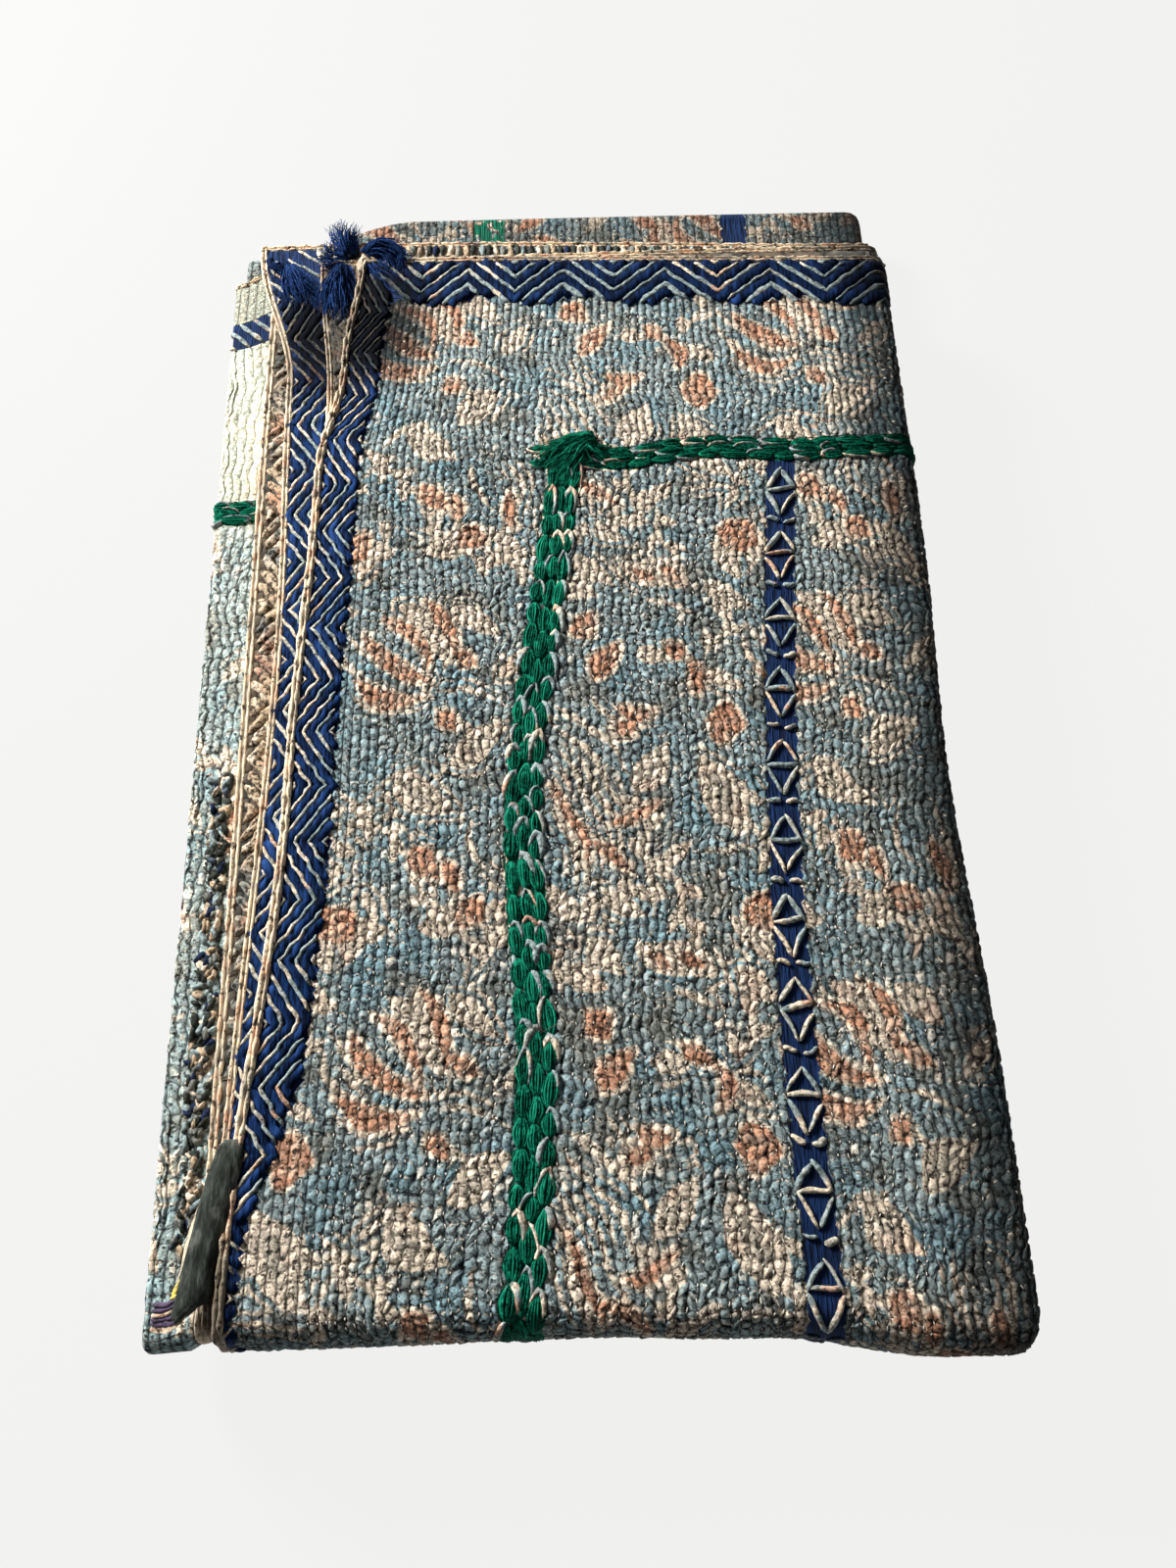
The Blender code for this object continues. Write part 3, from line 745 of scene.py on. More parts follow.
class Sheet:
    """One face of the cloth, cut finer where it shows; a plain cell takes in its neighbours' points."""

    def __init__(self, side, finer):
        self.side = side
        self.finer = finer
        self.across = Lines(across_blocks())
        self.down = Lines(down_blocks())
        self.used = np.zeros((len(self.across.flat), len(self.down.flat)), bool)
        self.quilted = np.ones_like(self.used)

    def steps(self, i, j):
        """How many cells this block is cut into, across and down."""
        across, down = self.across.blocks[i], self.down.blocks[j]
        pair = across.name, down.name
        if self.side > 0 and across.name in FINE_ACROSS and down.name in FINE_DOWN:
            return across.count * across.per, down.count * down.per
        return self.finer.get(pair, (across.plain, down.plain))

    def strides(self, i, j):
        """How many lattice lines each of its cells spans."""
        (a0, a1), (b0, b1) = self.across.span(i), self.down.span(j)
        across, down = self.steps(i, j)
        return (a1 - a0) // across, (b1 - b0) // down

    def cells(self):
        for i in range(len(self.across.blocks)):
            for j in range(len(self.down.blocks)):
                yield i, j, *self.across.span(i), *self.down.span(j), *self.strides(i, j)

    def mark(self):
        """Notes which lattice points this face uses, and which of them have their puffs in the mesh."""
        for i, j, a0, a1, b0, b1, da, db in self.cells():
            self.used[a0 : a1 + 1 : da, b0 : b1 + 1 : db] = True
            pair = self.across.blocks[i].name, self.down.blocks[j].name
            if self.side < 0 or pair not in QUILTED:
                self.quilted[a0 : a1 + 1, b0 : b1 + 1] = False

    def faces(self):
        """The plain cells, and the rings of those that take in more than their four corners."""
        number = np.cumsum(self.used.ravel()).reshape(self.used.shape) - 1
        quads, rings = [], []
        for _, _, a0, a1, b0, b1, da, db in self.cells():
            left, top = np.meshgrid(np.arange(a0, a1, da), np.arange(b0, b1, db), indexing="ij")
            left, top = left.ravel(), top.ravel()
            right, bottom = left + da, top + db
            plain = np.ones(len(left), bool)
            edge = (left == a0) | (right == a1) | (top == b0) | (bottom == b1)
            for k in np.nonzero(edge)[0]:
                ring = self.ring(left[k], right[k], top[k], bottom[k])
                if len(ring) > 4:
                    plain[k] = False
                    rings.append([number[p] for p in ring][:: self.side])
            corners = [
                number[left, top],
                number[left, bottom],
                number[right, bottom],
                number[right, top],
            ]
            quads.append(np.stack(corners[:: self.side], -1)[plain])
        return np.concatenate(quads), rings

    def ring(self, left, right, top, bottom):
        """The used lattice points round a cell."""
        used = self.used
        ring = [(left, b) for b in range(top, bottom) if used[left, b]]
        ring += [(a, bottom) for a in range(left, right) if used[a, bottom]]
        ring += [(right, b) for b in range(bottom, top, -1) if used[right, b]]
        ring += [(a, top) for a in range(right, left, -1) if used[a, top]]
        return ring

    def build(self):
        """The points, faces and layers of this face of the cloth."""
        self.mark()
        quads, rings = self.faces()
        a, b = np.nonzero(self.used)
        u, v = self.across.flat[a], self.down.flat[b]
        quilted = self.quilted[a, b]
        if self.side > 0:
            stray = wander(u, v)
            own = np.where(quilted & (border_reach(u, v) < -0.004), POINT_STRAY, 0)
            u = u + stray[0] + own * (chance(a, b, 21) - 0.5)
            v = v + stray[1] + 1.3 * own * (chance(a, b, 23) - 0.5)
        puffs = Puffs(self.across.count[a], self.down.count[b])
        height = np.where(quilted, puffs.height(u, v), 0)
        rim = np.sqrt(np.clip(np.minimum(*to_edges(u, v)) / EDGE_ROUND, 0, 1))
        layers = {
            "flat_v": v,
            "row": puffs.across_count,
            "puff": puffs.along_count,
            "worn": pale_roll_share(u, v),
            "border_reach": 1000 * border_reach(u, v),
            "hem_reach": 1000 * hem_reach(u, v),
        }
        if self.side > 0:
            place = self.print_place(u, v, puffs)
            layers["flat_u"] = u
            layers["puff_tone"] = puffs.own(17)
            layers["cream_reach"] = motif_reach(*place, foliage())
            layers["salmon_reach"] = motif_reach(*place, SALMON_STROKES)
            layers["green_reach"] = 1000 * green_reach(u, v)
            layers["blue_reach"] = 1000 * blue_reach(u, v)
        return packet(u, v, self.side * (CLOTH / 2 + height) * rim), quads, rings, layers

    def print_place(self, u, v, puffs):
        """Where each point lies on the print, with every puff's cloth shifted a little on its own."""
        across, down = drawn_in(u, v)
        s = np.interp(across, self.across.flat, true_lengths(ACROSS, self.across.flat))
        t = np.interp(down, self.down.flat, true_lengths(DOWN, self.down.flat))
        x = LEFT_HEM_X + np.minimum(across, PRESSED_ACROSS)
        right, nearer = press(x, FAR_HEM_Y - np.minimum(down, PRESSED_DOWN))
        s, t = s + right, t + nearer
        own_s = s + 0.0008 * (0.5 - puffs.across) + 0.0008 * (puffs.own(11) - 0.5)
        own_t = t + 0.0008 * (0.5 - puffs.along) + 0.0009 * (puffs.own(13) - 0.5)
        return waves(PRINT_WAVES[:1], s, t, own_s), waves(PRINT_WAVES[1:], s, t, own_t)


# ---- finishes ----

COTTON_SHEEN = 0.04
LINING_SHEEN = 0.15
COTTON_SPECULAR = 0.14
YARN_SPECULAR = 0.05
STRAND_PITCH = 0.0011
STRAND_STRETCH = 0.08  # how little a strand's noise changes along it


def tint(name):
    return tuple(getattr(colours(), name))


def deeper(colour, share, more=0.0):
    return tuple(share * c + more for c in colour)


class Finish:
    """A node material, wired by name."""

    def __init__(self, name, roughness=0.92, sheen=COTTON_SHEEN, specular=COTTON_SPECULAR):
        self.material = bpy.data.materials.new(name)
        self.material.use_nodes = True
        self.tree = self.material.node_tree
        self.shader = self.tree.nodes["Principled BSDF"]
        self.shader.inputs["Roughness"].default_value = roughness
        self.shader.inputs["Sheen Weight"].default_value = sheen
        self.shader.inputs["Specular IOR Level"].default_value = specular
        self.place = self.node("ShaderNodeTexCoord").outputs["Object"]

    def node(self, kind, **settings):
        made = self.tree.nodes.new(kind)
        for key, value in settings.items():
            setattr(made, key, value)
        return made

    def feed(self, socket, value):
        if isinstance(value, bpy.types.NodeSocket):
            self.tree.links.new(value, socket)
        else:
            socket.default_value = value

    def layer(self, name):
        return self.node("ShaderNodeAttribute", attribute_name=name).outputs["Fac"]

    def math(self, operation, *values):
        made = self.node("ShaderNodeMath", operation=operation)
        for socket, value in zip(made.inputs, values):
            self.feed(socket, value)
        return made.outputs[0]

    def times(self, first, *others):
        for other in others:
            first = self.math("MULTIPLY", first, other)
        return first

    def plus(self, first, *others):
        for other in others:
            first = self.math("ADD", first, other)
        return first

    def most(self, first, *others):
        for other in others:
            first = self.math("MAXIMUM", first, other)
        return first

    def humps(self, count):
        """0 at each whole count and 1 half way between, over and over."""
        return self.math("ABSOLUTE", self.math("SINE", self.times(count, math.pi)))

    def smooth(self, value, low, high, out_low=0.0, out_high=1.0):
        made = self.node("ShaderNodeMapRange", interpolation_type="SMOOTHSTEP")
        for socket, given in zip(made.inputs, (value, low, high, out_low, out_high)):
            self.feed(socket, given)
        return made.outputs[0]

    def noise(self, scale, detail=2.0, vector=None, roughness=0.5):
        made = self.node("ShaderNodeTexNoise")
        self.feed(made.inputs["Vector"], vector or self.place)
        made.inputs["Scale"].default_value = scale
        made.inputs["Detail"].default_value = detail
        made.inputs["Roughness"].default_value = roughness
        return made.outputs[0]

    def spots(self, scale, detail, low, high, out_low=0.0, out_high=1.0):
        """A noise as soft-edged spots, out_high in them and out_low between."""
        return self.smooth(self.noise(scale, detail), low, high, out_low, out_high)

    def mix(self, share, first, second, blend="MIX"):
        made = self.node("ShaderNodeMix", data_type="RGBA", blend_type=blend)
        self.feed(made.inputs[0], share)
        for socket, value in ((made.inputs[6], first), (made.inputs[7], second)):
            self.feed(socket, (*value, 1) if isinstance(value, (tuple, list)) else value)
        return made.outputs[2]

    def patched(self, cloth, *patches):
        """The cloth with patches, each a noise's scale and detail, its spots' edges, their share and tint."""
        for scale, detail, low, high, share, name in patches:
            cloth = self.mix(self.spots(scale, detail, low, high, 0, share), cloth, tint(name))
        return cloth

    def darkened(self, colour, share):
        """The colour times this share."""
        return self.mix(1.0, colour, self.vector(share, share, share), "MULTIPLY")

    def vector(self, x, y, z=0.0):
        made = self.node("ShaderNodeCombineXYZ")
        for socket, value in zip(made.inputs, (x, y, z)):
            self.feed(socket, value)
        return made.outputs[0]

    def stretched(self, *scale):
        """The place, with noise drawn out along the axes whose scale is small."""
        mapping = self.node("ShaderNodeMapping")
        self.feed(mapping.inputs[0], self.place)
        mapping.inputs["Scale"].default_value = scale
        return mapping.outputs[0]

    def bump(self, height, distance):
        made = self.node("ShaderNodeBump")
        made.inputs["Distance"].default_value = distance
        self.feed(made.inputs["Height"], height)
        self.feed(self.shader.inputs["Normal"], made.outputs[0])

    def colour(self, value):
        self.feed(self.shader.inputs["Base Color"], value)


def print_colours(finish):
    """The faded print with the left roll's painted highlight, and how far inside its pale parts a point is.
    """
    ragged = finish.times(finish.math("SUBTRACT", finish.noise(560, 3), 0.5), 2.0)
    ground = finish.mix(finish.spots(38, 3, 0.42, 0.66), tint("ground"), tint("ground_teal"))
    ground = finish.patched(ground, (55, 4, 0.50, 0.64, 0.9, "ground_grey"))
    own = finish.smooth(finish.layer("puff_tone"), 0.95, 0.97, 0, 0.45)  # a few pale puffs
    ground = finish.patched(finish.mix(own, ground, tint("cream")), (250, 4, 0.62, 0.68, 0.45, "cream"))
    cream_reach = finish.plus(finish.layer("cream_reach"), 0.3, ragged)
    salmon_reach = finish.plus(finish.layer("salmon_reach"), 0.5, ragged)
    pale = finish.most(cream_reach, finish.plus(salmon_reach, PETAL_OUTLINE))
    off_line = finish.math("ABSOLUTE", finish.plus(cream_reach, ECHO_AWAY))
    pale = finish.most(pale, finish.math("SUBTRACT", finish.spots(26, 2, 0.46, 0.60, -0.6, 1.0), off_line))
    cream = finish.patched(tint("cream"), (150, 3, 0.45, 0.75, 0.4, "ground_grey"))
    cream = finish.patched(cream, (60, 2, 0.56, 0.68, 0.30, "salmon"))
    cream = finish.mix(finish.smooth(cream_reach, 5.4, 6.2, 0, 0.45), cream, tint("ground_grey"))
    cloth = finish.mix(finish.smooth(pale, -0.6, 0.5), ground, cream)
    salmon = finish.patched(tint("salmon"), (120, 3, 0.4, 0.75, 0.5, "cream"))
    salmon = finish.patched(salmon, (210, 2, 0.55, 0.68, 0.5, "ground_grey"))
    cloth = finish.mix(finish.smooth(salmon_reach, -0.5, 0.6), cloth, salmon)
    # painted highlight: the left roll is painted paler where the key light falls on it
    cloth = finish.mix(finish.layer("worn"), cloth, tint("worn"))
    return finish.darkened(cloth, finish.spots(760, 4, 0.30, 0.70, 0.74, 1.30)), pale


def puff_shape(finish):
    """The puffs' height, 0 in a groove and 1 on a crest, from the row and puff numbers."""
    rib = finish.math("POWER", finish.humps(finish.layer("row")), 0.6)
    bead = finish.math("POWER", finish.humps(finish.layer("puff")), 0.62)
    bead = finish.plus(finish.times(bead, 0.82), 0.18)
    # puffs of a row run together in places, near the far border, and on the left roll
    joined = finish.spots(150, 2, 0.53, 0.64, 0.28, 0.80)
    far = finish.times(finish.smooth(finish.layer("flat_v"), 0.10, 0.17, 0.85, 0), finish.noise(90, 2), 1.6)
    roll = finish.smooth(finish.layer("worn"), 0.26, 0.70, 0, 0.78)
    return finish.times(rib, finish.most(bead, finish.most(joined, far, roll)))


def stitch_knots(finish):
    """Small spots of thread where a stitch goes down between two puffs of a row."""
    row, puff = finish.humps(finish.layer("row")), finish.humps(finish.layer("puff"))
    spot = finish.times(finish.smooth(row, 0.80, 0.92), finish.smooth(puff, 0.10, 0.30, 1, 0))
    return finish.times(spot, finish.spots(230, 2, 0.50, 0.56))


def strands(finish, along_u, along_v):
    """Fine yarn strands side by side: their height, from a noise drawn out along them."""
    u = finish.times(finish.layer("flat_u"), along_u)
    v = finish.times(finish.layer("flat_v"), along_v)
    return finish.noise(1 / STRAND_PITCH, 2, finish.vector(u, v))


def far_from(finish, x, y, place, squeeze=1.0):
    """The square of the distance from a place, with the way down shortened by squeeze."""
    down = finish.plus(y, -place[1])
    if squeeze != 1.0:
        down = finish.times(down, squeeze)
    across = finish.math("POWER", finish.plus(x, -place[0]), 2)
    return finish.plus(across, finish.math("POWER", down, 2))


def painted_shade(finish, side=0.19, far=0.50, corner=0.05):
    """Painted shade: what share of its brightness the cloth keeps on the folded side and the near edge's
    foot, which turn away from the key light, and in the painted shadows on the far border, by the frayed
    corner and round the mend.
    """
    split = finish.node("ShaderNodeSeparateXYZ")
    finish.feed(split.inputs[0], finish.place)
    x, y = split.outputs[0], split.outputs[1]
    uneven = finish.plus(x, finish.times(finish.math("SUBTRACT", finish.noise(46, 3), 0.5), 0.030))
    return finish.times(
        finish.smooth(uneven, 0.134, 0.170, 1.0, side),
        finish.smooth(y, 0.196, 0.222, 1.0, far),
        finish.smooth(y, -0.296, -0.280, 0.55, 1.0),  # the near edge's foot
        finish.smooth(far_from(finish, x, y, FRAYED_CORNER), 0.0005, 0.0034, corner, 1.0),
        finish.smooth(far_from(finish, x, y, MEND_PLACE, 0.4), 0.00001, 0.00013, 0.22, 1.0),
    )


def groove_share(finish, shape, pale):
    """Painted shade: what share of its brightness the face keeps in its grooves and creases, in small dark
    spots and at the packet's shaded places; a painted highlight brightens the left roll.
    """
    deepest = finish.plus(
        finish.smooth(pale, -0.4, 1.2, 0.01, 0.06),
        finish.smooth(finish.layer("flat_v"), 0.20, 0.42, 0, 0.16),
    )
    groove = finish.smooth(shape, 0.06, 0.74, deepest, 1.20)
    own = finish.math("FRACT", finish.times(finish.layer("puff_tone"), 7.0))
    groove = finish.times(groove, finish.smooth(own, 0, 1, 0.70, 1.26))
    # painted shade in small dark spots
    groove = finish.times(groove, finish.spots(480, 3, 0.36, 0.48, 0.12, 1.06))
    # the painted shade of the grooves is lighter on the left roll, under its painted highlight
    groove = finish.most(groove, finish.smooth(finish.layer("worn"), 0.0, 0.70, 0, 0.76))
    # painted highlight: from the left roll on, the cloth is 1.35 times brighter where the key light falls on
    # it
    on_roll = finish.smooth(finish.layer("flat_u"), 0.60, 0.62, 1.0, 1.35)
    return finish.times(groove, painted_shade(finish), on_roll)


def make_face_finish():
    finish = Finish("printed_cotton")
    shape = puff_shape(finish)
    cloth, pale = print_colours(finish)
    groove = groove_share(finish, shape, pale)
    # painted shade in the grooves and creases, with the left roll's painted highlight
    cloth = finish.darkened(cloth, groove)
    thread = finish.times(stitch_knots(finish), finish.smooth(groove, 0.0, 0.2))
    cloth = finish.mix(thread, cloth, tint("cream"))
    along_down, along_across = strands(finish, 1.0, STRAND_STRETCH), strands(finish, STRAND_STRETCH, 1.0)
    past_border = finish.math("GREATER_THAN", finish.layer("flat_v"), END_BORDER)
    strand = finish.mix(past_border, finish.vector(along_across, 0, 0), finish.vector(along_down, 0, 0))
    split = finish.node("ShaderNodeSeparateColor")
    finish.feed(split.inputs[0], strand)
    strand = split.outputs[0]
    strand_top = finish.smooth(strand, 0.35, 0.62)
    # painted shade: the navy and green yarn are painted darker between their strands, where the bump is low
    navy = finish.mix(strand_top, deeper(tint("navy"), 0.35), tint("navy"))
    green = finish.mix(strand_top, deeper(tint("green"), 0.30), tint("green"))
    navy_reach = finish.most(finish.layer("blue_reach"), finish.layer("border_reach"))
    colour = finish.mix(finish.smooth(navy_reach, -0.4, 0.3), cloth, navy)
    bare_spots = finish.spots(150, 2, 0.54, 0.60, 0, 9)
    green_reach = finish.math("SUBTRACT", finish.layer("green_reach"), bare_spots)
    colour = finish.mix(finish.smooth(green_reach, -0.4, 0.3), colour, green)
    # painted shade: the cloth round the hem's two rolls is painted a deep hem colour, the shade between them
    at_hem = finish.smooth(finish.layer("hem_reach"), -0.3, 0.3)
    finish.colour(finish.mix(at_hem, colour, deeper(tint("hem"), 0.30)))
    crumple = finish.times(finish.noise(400, 5, roughness=0.70), 2.0)
    weave = finish.times(finish.noise(1500, 2), 0.25)
    bands = (finish.layer("green_reach"), finish.layer("blue_reach"), finish.layer("border_reach"))
    height = finish.node("ShaderNodeMix", data_type="FLOAT")
    finish.feed(height.inputs[0], finish.smooth(finish.most(*bands), -0.6, 0.2))
    finish.feed(height.inputs[2], finish.plus(shape, crumple, weave))
    finish.feed(height.inputs[3], finish.times(strand, 1.4))
    finish.bump(height.outputs[0], 0.0014)
    return finish.material


def make_lining_finish():
    finish = Finish("lining_cotton", 0.93, LINING_SHEEN)
    shape = puff_shape(finish)
    cloth = finish.patched(tint("lining"), (30, 3, 0.42, 0.60, 1, "ground_grey"))
    cloth = finish.patched(cloth, (45, 2, 0.60, 0.70, 1, "cream"))
    # painted shade between the folds that the border pulls up on the back
    cloth = finish.darkened(cloth, finish.smooth(finish.layer("border_reach"), -1.0, 0.5, 1.0, 0.25))
    # painted shade in the grooves between the puffs
    cloth = finish.darkened(cloth, finish.smooth(shape, 0.0, 0.6, 0.15, 1.0))
    # painted shade: the cloth round the hem's two rolls is painted a deep hem colour, the shade between them
    at_hem = finish.smooth(finish.layer("hem_reach"), -0.3, 0.3)
    finish.colour(finish.mix(at_hem, cloth, deeper(tint("hem"), 0.30)))
    finish.bump(finish.plus(shape, finish.times(finish.noise(330, 3), 0.6)), 0.0011)
    return finish.material


def make_cotton_finish(name, base, other, scale, share=0.6, in_painted_shade=False):
    """A plain cotton with soft changes of colour and a fine weave, and, if asked, painted shade at the
    packet's shaded places.
    """
    finish = Finish(name, 0.9)
    cloth = finish.mix(finish.spots(scale, 3, 0.38, 0.68, 0, share), base, other)
    # painted shade at the packet's shaded places, if asked
    finish.colour(finish.darkened(cloth, painted_shade(finish, 0.3) if in_painted_shade else 1.0))
    weave = finish.times(finish.noise(1800, 2), 0.4)
    finish.bump(finish.plus(weave, finish.noise(420, 4, roughness=0.6)), 0.0009)
    return finish.material


def make_fold_finish():
    """The back's cloth: tan, pink and grey-green in patches, with painted shade in its creases and at the
    packet's shaded places.
    """
    finish = Finish("lining_folds")
    cloth = finish.patched(
        tint("lining"),
        (24, 2, 0.46, 0.56, 1, "ground_grey"),
        (37, 2, 0.56, 0.64, 0.6, "salmon"),
        (160, 3, 0.50, 0.66, 0.8, "cream"),
    )
    crease = finish.noise(420, 4, roughness=0.65)
    dark = finish.times(finish.smooth(crease, 0.38, 0.56, 0.06, 1.0), painted_shade(finish, 0.3, 1.0, 0.22))
    finish.colour(finish.darkened(cloth, dark))
    finish.bump(crease, 0.0016)
    return finish.material


def make_hem_finish():
    """The hem's pale cotton, with painted shade in the creases where its stitches draw it in, a little
    painted highlight on its crests, and painted shade at the packet's shaded places.
    """
    finish = Finish("hem_cotton")
    cloth = finish.patched(tint("hem"), (90, 3, 0.46, 0.64, 0.6, "salmon"))
    cloth = finish.patched(cloth, (60, 2, 0.54, 0.62, 0.5, "ground_grey"))
    crease = finish.noise(330, 4, roughness=0.6)
    dark = finish.times(finish.smooth(crease, 0.36, 0.48, 0.12, 1.15), painted_shade(finish, 0.3, 0.90, 0.4))
    finish.colour(finish.darkened(cloth, dark))
    finish.bump(crease, 0.0014)
    return finish.material


def make_ridge_finish():
    """The cloth that stands up between the border's yarn, in the print's own colours."""
    finish = Finish("ridge_cotton")
    nearness = finish.layer("hem_nearness")
    tone = finish.plus(finish.noise(70, 3), finish.times(finish.math("MINIMUM", nearness, 0.0), 0.25))
    cloth = finish.mix(finish.smooth(tone, 0.50, 0.58), tint("ground"), tint("cream"))
    cloth = finish.patched(cloth, (52, 2, 0.62, 0.66, 0.7, "salmon"))
    cloth = finish.mix(finish.smooth(nearness, 0.2, 1.0, 0, 0.7), cloth, tint("hem"))
    crease = finish.noise(480, 4, roughness=0.6)
    # painted shade in the creases, a little painted highlight on their crests, and painted shade at the
    # packet's shaded places
    dark = finish.times(finish.smooth(crease, 0.32, 0.62, 0.30, 1.20), painted_shade(finish, 0.2, 0.90, 0.07))
    finish.colour(finish.darkened(cloth, dark))
    finish.bump(crease, 0.0011)
    return finish.material


def make_yarn_finish(name, base, drawn=1.0, in_painted_shade=True):
    """Twisted yarn; drawn is how little its noise changes down the cloth."""
    finish = Finish(name, 0.85, 0.0, YARN_SPECULAR)
    # painted shade at the packet's shaded places, except on the tufts
    dark = painted_shade(finish, 0.3, 0.55, 0.04) if in_painted_shade else 1.0
    finish.place = finish.stretched(1, drawn, 1)
    light = tuple(min(1, c) for c in deeper(base, 2.2, 0.006))
    colour = finish.mix(finish.spots(900, 2, 0.40, 0.6), deeper(base, 0.16), base)
    colour = finish.mix(finish.smooth(finish.layer("tone"), 0.55, 0.95, 0, 0.55), colour, light)
    colour = finish.mix(finish.spots(300, 3, 0.50, 0.70, 0, 0.8), colour, light)
    finish.colour(finish.darkened(colour, dark))
    finish.bump(finish.noise(1400, 3), 0.0005)
    return finish.material


def make_mend_finish():
    """Charcoal cotton, with painted highlights on the crests of its creases and painted shade in their
    hollows.
    """
    finish = Finish("charcoal_cloth", sheen=0.0)
    crease = finish.noise(420, 5, finish.stretched(1, 0.25, 1), 0.65)
    colour = finish.mix(finish.smooth(crease, 0.38, 0.52), deeper(tint("mend"), 0.45), tint("mend"))
    colour = finish.mix(finish.smooth(crease, 0.52, 0.66, 0, 0.8), colour, deeper(tint("mend"), 2.4))
    finish.colour(finish.patched(colour, (120, 3, 0.55, 0.70, 0.4, "ground_grey")))
    finish.bump(crease, 0.0016)
    return finish.material


def make_rumple_finish():
    """Slate, indigo, tan and grey lumps, each in its own tone, with painted shade in their creases and a
    little painted highlight on their crests.
    """
    finish = Finish("rumpled_cotton", sheen=0.0)
    tone = finish.layer("tone")
    indigo = deeper(tint("navy"), 0.6, 0.01)
    cloth = tint("mend")
    others = (tint("ground_grey"), tint("ground"), indigo, tint("lining"), tint("cream"))
    for start, other in zip((0.30, 0.48, 0.66, 0.76, 0.90), others):
        cloth = finish.mix(finish.smooth(tone, start, start + 0.02), cloth, other)
    crease = finish.noise(420, 4, roughness=0.6)
    finish.colour(finish.darkened(cloth, finish.smooth(crease, 0.36, 0.56, 0.30, 1.1)))
    finish.bump(crease, 0.0014)
    return finish.material


# ---- tubes laid on the cloth ----


class Tubes:
    """Many closed tubes in one mesh. Each ring is given as points on the packet."""

    def __init__(self):
        self.points = []
        self.quads = []
        self.rings = []
        self.tones = []
        self.count = 0

    def add(self, rings, tone=0.0, closed=False):
        """rings is (stations, points round, 3). An open tube gets end caps."""
        stations, around, _ = rings.shape
        number = self.count + np.arange(stations * around).reshape(stations, around)
        first, second = (number, np.roll(number, -1, 0)) if closed else (number[:-1], number[1:])
        turned_first, turned_second = np.roll(first, -1, 1), np.roll(second, -1, 1)
        self.quads.append(np.stack([first, turned_first, turned_second, second], -1).reshape(-1, 4))
        if not closed:
            self.rings.append(number[0][::-1])
            self.rings.append(number[-1])
        self.points.append(rings.reshape(-1, 3))
        self.tones.append(np.broadcast_to(np.asarray(tone, float).reshape(-1, 1), (stations, around)).ravel())
        self.count += stations * around

    def piece(self, name, material, slot, layer="tone"):
        points = np.concatenate(self.points)
        layers = {layer: np.concatenate(self.tones)}
        return mesh_piece(name, points, np.concatenate(self.quads), self.rings, material, layers)


def square_to(du, dv):
    """The unit direction across the cloth from this heading, turned a quarter."""
    length = np.maximum(np.hypot(du, dv), 1e-9)
    return -dv / length, du / length


def laid_rings(u, v, side, half_width, top, foot=-0.0006, around=7, taper=0.6):
    """Rings of a low tube that follows the line of flat points u, v on one face of the cloth."""
    aside_u, aside_v = square_to(np.gradient(u), np.gradient(v))
    way = np.linspace(0, 1, len(u))
    end = np.minimum(way, 1 - way) * (len(u) - 1)
    full = 1 - taper * np.exp(-1.6 * end)
    half_width, top = half_width * full, top * full
    turn = np.linspace(0, 2 * math.pi, around, endpoint=False) + math.pi / 2
    cos, sin = np.cos(turn), np.sin(turn)
    out = np.where(sin > 0, sin[None, :] * top[:, None], -sin[None, :] * foot)
    aside = cos[None, :] * half_width[:, None]
    uneven = 1 + 0.35 * (chance(np.arange(len(u)), np.floor(1e4 * u[0]), np.floor(1e4 * v[0])) - 0.5)
    aside = aside * uneven[:, None]
    rings_u = u[:, None] + aside * aside_u[:, None]
    rings_v = v[:, None] + aside * aside_v[:, None]
    rings = packet(rings_u, rings_v, side * (CLOTH / 2 + out))
    return rings if side > 0 else rings[:, ::-1]


def long_runs(keep):
    """The stretches of at least three kept points in a row."""
    places = np.nonzero(keep)[0]
    return [run for run in np.split(places, np.nonzero(np.diff(places) > 1)[0] + 1) if len(run) >= 3]


def zigzag_lines(zigzag, start, end, low, depth, corner=False, between=0, points=12):
    """The ridges of a zigzag border as (along, across) lines, cut to the border's depth."""
    period, slope, spacing, touch = zigzag
    half = period / 2
    first = int(math.floor((start - touch) / half))
    last = int(math.ceil((end - touch) / half))
    along = touch + half * np.arange(first * points, last * points + 1) / points
    rise = slope * half * (1 - np.abs(np.mod((along - touch) / half, 2) - 1))
    found = []
    for k in range(-4, 5):
        across = rise + (k + between) * spacing
        keep = (across > low) & (across < depth) & (along > start) & (along < end)
        if corner:
            keep = keep & (along > across)
        wobble = waves(ZIGZAG_WOBBLE, along, k)
        found += [(along[run], across[run] + wobble[run]) for run in long_runs(keep)]
    return found


def cut_lines(lines, depth, more):
    """Those parts of the lines that lie within the border's depth there."""
    return [
        (along[run], across[run])
        for along, across in lines
        for run in long_runs(across < depth(along) + more)
    ]


def left_lines(low, more, between=0):
    lines = zigzag_lines(SIDE_ZIGZAG, BORDER_START, LEFT_BORDER_END, low, SIDE_BORDER + more, True, between)
    return cut_lines(lines, left_depth, more)


def far_lines(low, more, between=0):
    lines = zigzag_lines(END_ZIGZAG, BORDER_START, FAR_BORDER_END, low, END_BORDER + 0.006, True, between)
    return cut_lines(lines, far_depth, more)


def under_lines(low, more, between=0):
    """The lines of the left border on the layer below, on the flat cloth's opposite corner."""
    deep = SIDE_BORDER + more
    for along, across in zigzag_lines(SIDE_ZIGZAG, BORDER_START, UNDER_BORDER_END, low, deep, True, between):
        yield FLAT_LENGTH - along, FLAT_WIDTH - across, across


